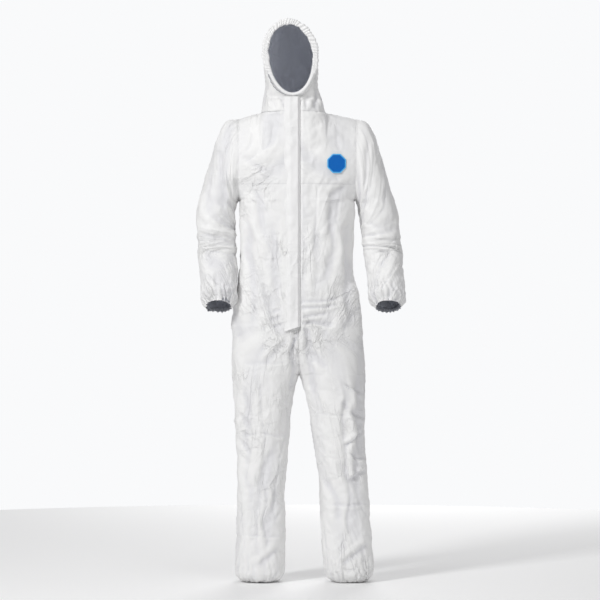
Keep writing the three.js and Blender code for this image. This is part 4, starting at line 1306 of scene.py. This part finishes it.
def seal_tape(material):
    """The flap's adhesive strip, on the back of the flap and following it."""
    low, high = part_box("flap_seal_tape")
    flap_low, flap_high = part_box("storm_flap")
    share = lambda place, axis: (place - flap_low[axis]) / (flap_high[axis] - flap_low[axis])
    across, down = np.meshgrid(np.linspace(share(low[0], 0), share(high[0], 0), 9),
                               np.linspace(share(low[2] + FLAP_TUCK, 2), share(high[2], 2), 300))
    face = flap_face(across, down) + np.array([0, FLAP_THICK, 0])
    return slab("flap_seal_tape", face + np.array([0, 0.00002, 0]), face + np.array([0, 0.0004, 0]), material)


def strip(name, material, weave=0.0001):
    """A thin woven strip filling its node's box, with a faint ripple."""
    low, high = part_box(name)
    u, v = np.meshgrid(np.linspace(low[0], high[0], 9), np.linspace(low[2], high[2], 160))
    ripple = weave * np.cos(v * 900) + 0 * u
    return slab(name, stack(u, low[1] + ripple, v), stack(u, high[1] + ripple, v), material)


def zip_teeth(side, name, material):
    """Moulded teeth on one tape: each a rounded block with a nose, two grids per tooth, repeated."""
    count = int((ZIP_HIGH - ZIP_LOW) / TOOTH_PITCH)
    phase = 0.25 if side > 0 else 0.75
    size = np.array([0, 0.75, 1, 1, 0.85, 0.6, 0])[:, None]     # from root to nose
    rings, sides = len(size), 8
    a, b = np.meshgrid(np.linspace(0, 1, rings), np.linspace(0, 2 * np.pi, sides + 1)[:-1], indexing="ij")
    sine, cosine = oval(b, 0.6)
    x = side * mix(0.0028, 0.0002, a)
    tooth = stack(x - MIDDLE_X, ZIP_Y + 0.0011 * size * cosine, 0.00075 * size * sine)
    index = np.arange(rings * sides).reshape(rings, sides)
    face = np.stack([index[:-1], np.roll(index, -1, 1)[:-1], np.roll(index, -1, 1)[1:], index[1:]], -1)
    face = face.reshape(-1, 4)
    lift = ZIP_LOW + (np.arange(count) + phase) * TOOTH_PITCH
    points = (tooth[None] + stack(0, 0, lift)[:, None, None]).reshape(-1, 3)
    quads = (face[None] + (np.arange(count) * rings * sides)[:, None, None]).reshape(-1, 4)
    obj = new_object(name, points, quads)
    turn_out(obj)
    obj.data.materials.append(material)
    return obj


def chest_badge(material):
    """
    The octagonal film label: rings of an octagon with eased corners from its middle out, the rim
    a little raised, wrapped on the chest's turn and pressed at the edge.
    """
    low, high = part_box("chest_badge")
    centre = (np.array(low) + np.array(high)) / 2
    half, turned, tilt = 0.0297, math.radians(10.5), math.radians(2.5)
    out = np.array([math.cos(turned), math.sin(turned), 0])
    front = np.array([math.sin(turned), -math.cos(turned), 0])
    up = np.array([0, 0, 1.0])
    a = np.linspace(0, 2 * np.pi, 129)[:-1] + tilt
    eighth = (a + np.pi / 8) % (np.pi / 4) - np.pi / 8
    reach = np.minimum(half / np.cos(eighth), half * 1.066)
    # Rings by share of the reach, and the film's height at each in units of 0.24 mm.
    ring = np.array([0.001, 0.3, 0.6, 0.78, 0.81, 0.84, 0.93, 0.975, 1.0, 1.0, 0.97, 0.001])[:, None]
    height = np.array([3, 3, 3, 3, 3.6, 4.2, 4.2, 3.8, 2.8, 1.0, 0, 0])[:, None] * 2.4e-4
    radius = ring * reach
    points = (centre + (radius * np.cos(a))[..., None] * out + (radius * np.sin(a))[..., None] * up
              + (height - 6e-4 + 0 * radius)[..., None] * front)
    rows, count = radius.shape
    index = np.arange(rows * count).reshape(rows, count)
    beside = np.roll(index, -1, 1)
    quads = np.stack([index[:-1], beside[:-1], beside[1:], index[1:]], -1).reshape(-1, 4)
    caps = np.concatenate([index[0], index[-1]])
    hub = rows * count + np.array([0, 1])
    points = np.concatenate([points.reshape(-1, 3), points[[0, -1]].mean(1)])
    fan = np.concatenate([np.stack([index[0], np.full(count, hub[0]), beside[0]], 1),
                          np.stack([beside[-1], np.full(count, hub[1]), index[-1]], 1)])
    obj = new_object("chest_badge", points, quads, fan)
    turn_out(obj)
    attribute(obj, "edge", np.r_[(ring + 0 * reach).reshape(-1), 0, 0])
    obj.data.materials.append(material)
    return obj


# ---- camera, light and floor ---------------------------------------------------------------------

LAMPS = [                   # name, place, aim, size and power
    ("key", (-2.7, -3.4, 3.4), (0, 0, 0.9), 0.8, 112), ("fill", (2.4, -5.0, 1.0), (0, 0, 0.9), 1.4, 22),
    ("top", (0.1, -1.0, 3.8), (0, 0, 1.2), 1.0, 10), ("back", (0.6, 4.4, 2.2), (0, 0, 1.0), 2.0, 70),
]
FLOOR_CORNERS = 96


def camera():
    """Level and square to the chest, 8 m away."""
    data = bpy.data.cameras.new("camera")
    data.sensor_width = 36
    data.lens = 152.9
    obj = bpy.data.objects.new("camera", data)
    obj.location = (-0.0046, -8.0, 0.8820)
    obj.rotation_euler = (math.pi / 2, 0, 0)
    bpy.context.scene.collection.objects.link(obj)
    bpy.context.scene.camera = obj


def lamp(name, place, aim, size, power):
    """A soft square light at a place, aimed at a point."""
    data = bpy.data.lights.new(name, "AREA")
    data.size = size
    data.energy = power
    obj = bpy.data.objects.new(name, data)
    obj.location = place
    turn = np.array(aim) - np.array(place)
    level = math.hypot(turn[0], turn[1])
    obj.rotation_euler = (math.atan2(level, -turn[2]), 0, math.atan2(turn[1], turn[0]) - math.pi / 2)
    bpy.context.scene.collection.objects.link(obj)


def studio():
    """
    A pale round floor, four soft lights and a pale surround, which is brighter where it is looked
    at than where it lights.
    """
    world = bpy.data.worlds.new("surround")
    world.use_nodes = True
    background = world.node_tree.nodes["Background"]
    background.inputs[0].default_value = (0.96, 0.96, 0.97, 1)
    background.inputs[1].default_value = 0.42
    nodes, links = world.node_tree.nodes, world.node_tree.links
    seen = nodes.new("ShaderNodeBackground")
    seen.inputs[0].default_value = (0.95, 0.955, 0.965, 1)
    path, both = nodes.new("ShaderNodeLightPath"), nodes.new("ShaderNodeMixShader")
    links.new(path.outputs["Is Camera Ray"], both.inputs[0])
    links.new(background.outputs[0], both.inputs[1])
    links.new(seen.outputs[0], both.inputs[2])
    links.new(both.outputs[0], nodes["World Output"].inputs[0])
    bpy.context.scene.world = world
    bpy.context.scene.view_settings.view_transform = "Standard"
    look = Look("floor", roughness=0.8)
    speck = look.noise(30.0, 4)
    floor_material = look.done(look.colours(speck * 0.05, (0.95, 0.95, 0.95), (0.88, 0.88, 0.88)), 0.8,
                               look.bump(speck, 0.0005, 0.3))
    turn = np.linspace(0, 2 * np.pi, FLOOR_CORNERS + 1)[:-1]
    ring = stack(FLOOR_RADIUS * np.cos(turn), FLOOR_RADIUS * np.sin(turn), FLOOR_Z)
    index = np.arange(FLOOR_CORNERS)
    wedges = np.stack([index, (index + 1) % FLOOR_CORNERS, np.full_like(index, FLOOR_CORNERS)], 1)
    points = np.concatenate([ring, [[0, 0, FLOOR_Z]]])
    floor = new_object("floor", points, np.zeros((0, 4), int), wedges)
    floor.data.materials.append(floor_material)
    for row in LAMPS:
        lamp(*row)


# ---- putting it together -------------------------------------------------------------------------


def bend_or_ride(obj, panel):
    """A trunk or hood panel rides the torso; a limb's panel only has its placement baked into its points and
    rides no body.
    """
    if panel == "upper_sleeve":
        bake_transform(obj)
    elif panel == "forearm_sleeve":
        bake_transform(obj)
    elif panel == "thigh":
        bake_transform(obj)
    elif panel == "shin":
        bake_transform(obj)
    else:
        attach(obj, "torso")


def place_panels(shell, outside, inside):
    for number, title in enumerate(PANELS):
        panel, name = title.rsplit("_", 1)
        own = shell["quads"][shell["panel"] == number]
        obj, used = wall(f"{title}_cloth", shell["points"], shell["normal"], own)
        for array in ("seam", "fold"):
            attribute(obj, array, np.tile(shell[array][used], 2))
        kind = shell["place"][used]
        kind = np.where((kind == SLEEVE) & ("sleeve" not in panel), CHEST, kind)
        pull = flow(shell["worn"][used], kind, shell["turn"][used], shell["down"][used], panel == "hood")
        attribute(obj, "flow", np.tile(pull, (2, 1)), "FLOAT_VECTOR")
        obj.data.materials.append(outside)
        obj.data.materials.append(inside)
        bend_or_ride(obj, panel)
        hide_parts(title)


def put(obj, body):
    """A small piece rides its body and stands for the node that it is named after."""
    node = obj.name.split(".")[0]
    obj.name = f"{node}_made"
    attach(obj, body)
    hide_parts(node)
    return obj


def main():
    camera()
    studio()
    white, shade = (0.880, 0.878, 0.872), (0.70, 0.70, 0.73)
    outside = nonwoven("nonwoven_white", white, shade)
    # Painted shade: the inside is the same white cloth, given a grey-blue colour for the shade inside the
    # hood, sleeves and legs.
    inside = nonwoven("nonwoven_inside_painted_shade", (0.74, 0.76, 0.82), (0.62, 0.64, 0.70), soil=0.0, sewn=False)
    plain_cloth = nonwoven("nonwoven_ruched", white, shade, soil=0.0, sewn=False)
    elastic = woven("elastic_ribbed", (0.42, 0.43, 0.47), (0.30, 0.31, 0.34), ribs=2600.0)
    tape_cloth = woven("zip_tape_white", (0.80, 0.80, 0.81), (0.62, 0.62, 0.63), ribs=3800.0)
    satin = woven("satin_label", (0.85, 0.85, 0.86), (0.72, 0.72, 0.73), ribs=4200.0, rough=0.45)
    nylon = plastic("nylon_white", (0.84, 0.84, 0.85))
    paper = plastic("release_paper", (0.80, 0.80, 0.76), rough=0.30)
    film = label_film("badge_film", (0.0015, 0.135, 0.52), (0.10, 0.46, 0.84))
    shell = make_shell()
    place_panels(shell, outside, inside)
    put(face_casing(plain_cloth), "torso")
    middle = [hood_x(FACE_Z) - MIDDLE_X, FACE_Y + 0.001, FACE_Z]
    lean_out = np.array([1.0, 0, 0])
    face_band = band("face_elastic", middle, lean_out, np.array([0, 0, 1.0]), FACE_HALF + 0.0080,
                FACE_RISE + 0.0080, 0.0060, 0.0014, elastic)
    put(face_band, "torso")
    put(waist_band(shell, elastic), "torso")
    for name, side in SIDES:
        put(cuff_band(side, f"cuff_elastic_{name}", elastic), f"forearm_{name}")
        put(ankle_band(side, f"ankle_elastic_{name}", elastic), f"lower_leg_{name}")
        put(strip(f"zip_tape_{name}", tape_cloth), "torso")
        put(zip_teeth(side, f"zip_teeth_{name}", nylon), "torso")
    put(storm_flap(plain_cloth), "flap")
    put(seal_tape(paper), "flap")
    put(strip("size_label", satin, 0.00005), "torso")
    put(chest_badge(film), "torso")
    for node in ("zip_top_stop_left", "zip_top_stop_right", "zip_bottom_stop", "zip_slider", "zip_pull"):
        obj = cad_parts[node]
        obj.data.materials.clear()
        obj.data.materials.append(nylon)


main()
